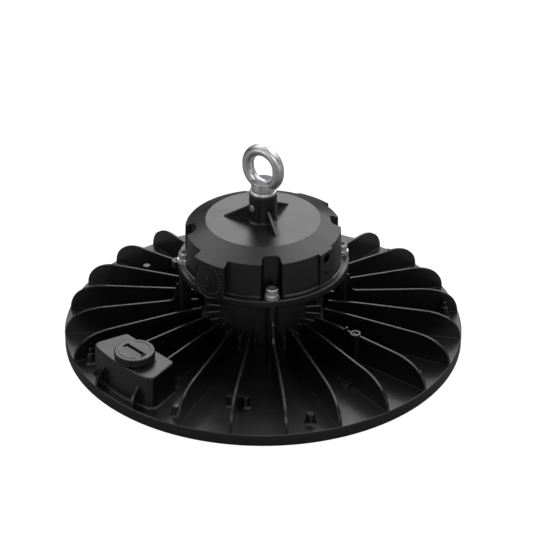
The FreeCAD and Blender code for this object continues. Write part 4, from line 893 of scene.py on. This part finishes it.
@dataclass
class Dial:
    """Plain raised ticks and a pointer in the round recess of the housing's pad.

    Attributes:
        floor_r: radius of the recess's floor about the light's axis.
        height: height of the recess's middle.
        ticks: number of ticks.
        inner: distance of the ticks' inner ends from the middle.
        outer: distance of their outer ends.
        width: width of a tick.
        rise: height of the marks over the floor.
        root: depth to which they reach into it.
        pointer: width and length of the pointer.
        barb: length of each barb of the pointer's head.
        barb_angle: angle of a barb from the pointer's shaft, in degrees.
        lean: lean of the pointer in degrees.
    """

    floor_r: float = 71.7
    height: float = 84.5
    ticks: int = 24
    inner: float = 10.4
    outer: float = 14.0
    width: float = 0.75
    rise: float = 0.6
    root: float = 0.2
    pointer: tuple[float, float] = (0.9, 9.0)
    barb: float = 3.0
    barb_angle: float = 145.0
    lean: float = -28.0

    def bar(self, bm: bmesh.types.BMesh, size: tuple[float, float], reach: float, angle: float) -> None:
        """Adds a flat bar that points away from the middle.

        Args:
            bm: bmesh to add it to, with the dial's middle at the origin and its face towards -Y.
            size: the bar's width and length.
            reach: distance of its middle from the dial's middle.
            angle: its angle from the upright, in degrees.
        """
        thick = self.rise + self.root
        place = (Matrix.Rotation(math.radians(angle), 4, "Y")
                 @ Matrix.Translation((0, (self.root - self.rise) / 2, reach))
                 @ Matrix.Diagonal((size[0], thick, size[1], 1)))
        bmesh.ops.create_cube(bm, size=1.0, matrix=place)

    def build(self) -> None:
        """Builds the marks flat, wraps them round the pad and puts them in the model."""
        bm = bmesh.new()
        long = self.outer - self.inner
        for index in range(self.ticks):
            self.bar(bm, (self.width, long), self.inner + long / 2, FULL_TURN * index / self.ticks)
        width, length = self.pointer
        self.bar(bm, (width, length), 0.0, self.lean)
        for side in (-1, 1):
            place = (Matrix.Rotation(math.radians(self.lean), 4, "Y") @ Matrix.Translation((0, 0, length / 2))
                     @ Matrix.Rotation(math.radians(side * self.barb_angle), 4, "Y"))
            before = len(bm.verts)
            self.bar(bm, (width, self.barb), self.barb / 2, 0.0)
            bm.verts.ensure_lookup_table()
            bmesh.ops.transform(bm, verts=bm.verts[before:], matrix=place)
        for vert in bm.verts:
            turn = vert.co.x / self.floor_r
            reach = self.floor_r - vert.co.y
            vert.co = (reach * math.sin(turn), -reach * math.cos(turn), self.height + vert.co.z)
        # the marks take the lighter painted-highlight coat, not the cast coat's own colour
        MAKER.finish(bm, "dial_marks", TICK_HIGHLIGHT, FIXTURE)


@dataclass
class Studio:
    """Pale floor, white surroundings, soft lights and the camera.

    Attributes:
        floor_size: side of the floor in metres.
        floor_drop: distance of the floor below the rim, in metres.
        eye: the camera's place.
        pitch: angle by which it looks down, in degrees.
        heading: angle of its view from +Y, counter-clockwise from above, in degrees.
        lens: focal length in millimetres.
        sensor: sensor width in millimetres.
        floor_glow: light that the camera sees the floor give off, so that it reads as white.
        ambient: strength of the light from all round, 0 for none.
        aim: point that the soft lights face.
        distance: distance of the soft lights from the object, in metres.
        box_side: side of each soft light in metres.
        boxes: azimuth from the camera's side and elevation in degrees, and power in watts, of each soft light.
    """

    floor_size: float = 30.0
    floor_drop: float = 0.0002
    eye: tuple[float, float, float] = (0.9214, -1.1460, 0.9205)
    pitch: float = 30.173
    heading: float = 38.69
    lens: float = 135.75
    sensor: float = 36.0
    floor_glow: float = 0.95
    ambient: float = 0.0
    aim: tuple[float, float, float] = (0.0, 0.0, 0.06)
    distance: float = 2.2
    box_side: float = 0.9
    boxes: tuple[tuple[float, float, float], ...] = (
        (180, 31, 6.3), (180, 48, 2.2), (144, 44, 4.7), (120, 66, 5.4), (60, 66, 5.5), (-144, 44, 3.6),
        (-120, 66, 3.5), (-60, 6, 6.5), (150, 24, 2.9), (-108, 44, 3.1), (0, 32, 7.0), (30, 6, 3.0),
        (108, 44, 3.4), (-36, 44, 2.2), (0, 88, 1.6), (-72, 44, 1.4), (60, 6, 1.5),
        (150, 6, 1.8), (90, 6, 1.6), (90, 24, 0.6), (120, 24, 0.8), (-150, 24, 0.3), (-150, 6, 0.4))

    def build(self) -> None:
        """Makes the whole studio."""
        self.make_floor()
        self.make_surroundings()
        self.make_lights()
        self.make_camera()

    def make_floor(self) -> None:
        """Makes a large pale floor just under the rim, faintly bright so that it reads as white."""
        mesh = bpy.data.meshes.new("floor")
        bm = bmesh.new()
        bmesh.ops.create_grid(bm, x_segments=1, y_segments=1, size=self.floor_size / 2)
        bmesh.ops.translate(bm, verts=bm.verts, vec=(0, 0, -self.floor_drop))
        bm.to_mesh(mesh)
        bm.free()
        floor = bpy.data.objects.new("floor", mesh)
        bpy.context.scene.collection.objects.link(floor)
        paper = PAPER.material()
        tree = paper.node_tree
        shader = tree.nodes["Principled BSDF"]
        shader.inputs["Emission Color"].default_value = WHITE
        seen = tree.nodes.new("ShaderNodeLightPath")
        glow = tree.nodes.new("ShaderNodeMath")
        glow.operation = "MULTIPLY"
        glow.inputs[1].default_value = self.floor_glow
        tree.links.new(seen.outputs["Is Camera Ray"], glow.inputs[0])
        tree.links.new(glow.outputs["Value"], shader.inputs["Emission Strength"])
        mesh.materials.append(paper)

    def make_surroundings(self) -> None:
        """Sets a world that is white to look at and lights the object only by the ambient strength."""
        world = bpy.data.worlds.new("studio")
        world.use_nodes = True
        tree = world.node_tree
        tree.nodes.clear()
        seen = tree.nodes.new("ShaderNodeBackground")
        seen.inputs["Strength"].default_value = 1.0
        seen.inputs["Color"].default_value = WHITE
        lit = tree.nodes.new("ShaderNodeBackground")
        lit.inputs["Strength"].default_value = self.ambient
        lit.inputs["Color"].default_value = WHITE
        path = tree.nodes.new("ShaderNodeLightPath")
        pick = tree.nodes.new("ShaderNodeMixShader")
        output = tree.nodes.new("ShaderNodeOutputWorld")
        tree.links.new(path.outputs["Is Camera Ray"], pick.inputs["Fac"])
        tree.links.new(lit.outputs["Background"], pick.inputs[1])
        tree.links.new(seen.outputs["Background"], pick.inputs[2])
        tree.links.new(pick.outputs["Shader"], output.inputs["Surface"])
        bpy.context.scene.world = world
        bpy.context.scene.view_settings.view_transform = "Standard"

    def add_light(self, name: str, place: tuple[float, float, float], power: float) -> None:
        """Adds a soft square light that faces the object.

        Args:
            name: the light's name.
            place: its centre.
            power: its power in watts.
        """
        data = bpy.data.lights.new(name, "AREA")
        data.shape = "RECTANGLE"
        data.size = data.size_y = self.box_side
        data.energy = power
        light = bpy.data.objects.new(name, data)
        light.location = place
        way = Vector(self.aim) - Vector(place)
        light.rotation_euler = way.to_track_quat("-Z", "Y").to_euler()
        bpy.context.scene.collection.objects.link(light)

    def around(self, azimuth: float, elevation: float) -> tuple[float, float, float]:
        """Gives the place of a light relative to the camera's side.

        Args:
            azimuth: angle from the camera's side in degrees, counter-clockwise from above.
            elevation: height above the horizon, in degrees.

        Returns:
            The place as x, y, z.
        """
        turn = math.radians(self.heading - 90 + azimuth)
        rise = math.radians(elevation)
        flat = self.distance * math.cos(rise)
        return (flat * math.cos(turn), flat * math.sin(turn), self.distance * math.sin(rise))

    def make_lights(self) -> None:
        """Makes the soft lights round the object."""
        for index, (azimuth, elevation, power) in enumerate(self.boxes):
            self.add_light(f"soft_box_{index}", self.around(azimuth, elevation), power)

    def make_camera(self) -> None:
        """Makes the camera at the photograph's place and angle."""
        data = bpy.data.cameras.new("camera")
        data.lens = self.lens
        data.sensor_width = self.sensor
        camera = bpy.data.objects.new("camera", data)
        camera.location = self.eye
        camera.rotation_euler = (math.radians(90 - self.pitch), 0, math.radians(self.heading))
        bpy.context.scene.collection.objects.link(camera)
        bpy.context.scene.camera = camera


def main() -> None:
    """Dresses the model and builds the studio."""
    logging.basicConfig(level=logging.INFO, format="%(name)s: %(message)s")
    for name, finish in NODE_FINISHES.items():
        dress(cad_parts[name], finish)
    for assembly in (Eyebolt(), SocketScrews(), SensorCap(), Dial(), Studio()):
        assembly.build()


if __name__ == "__main__":
    main()
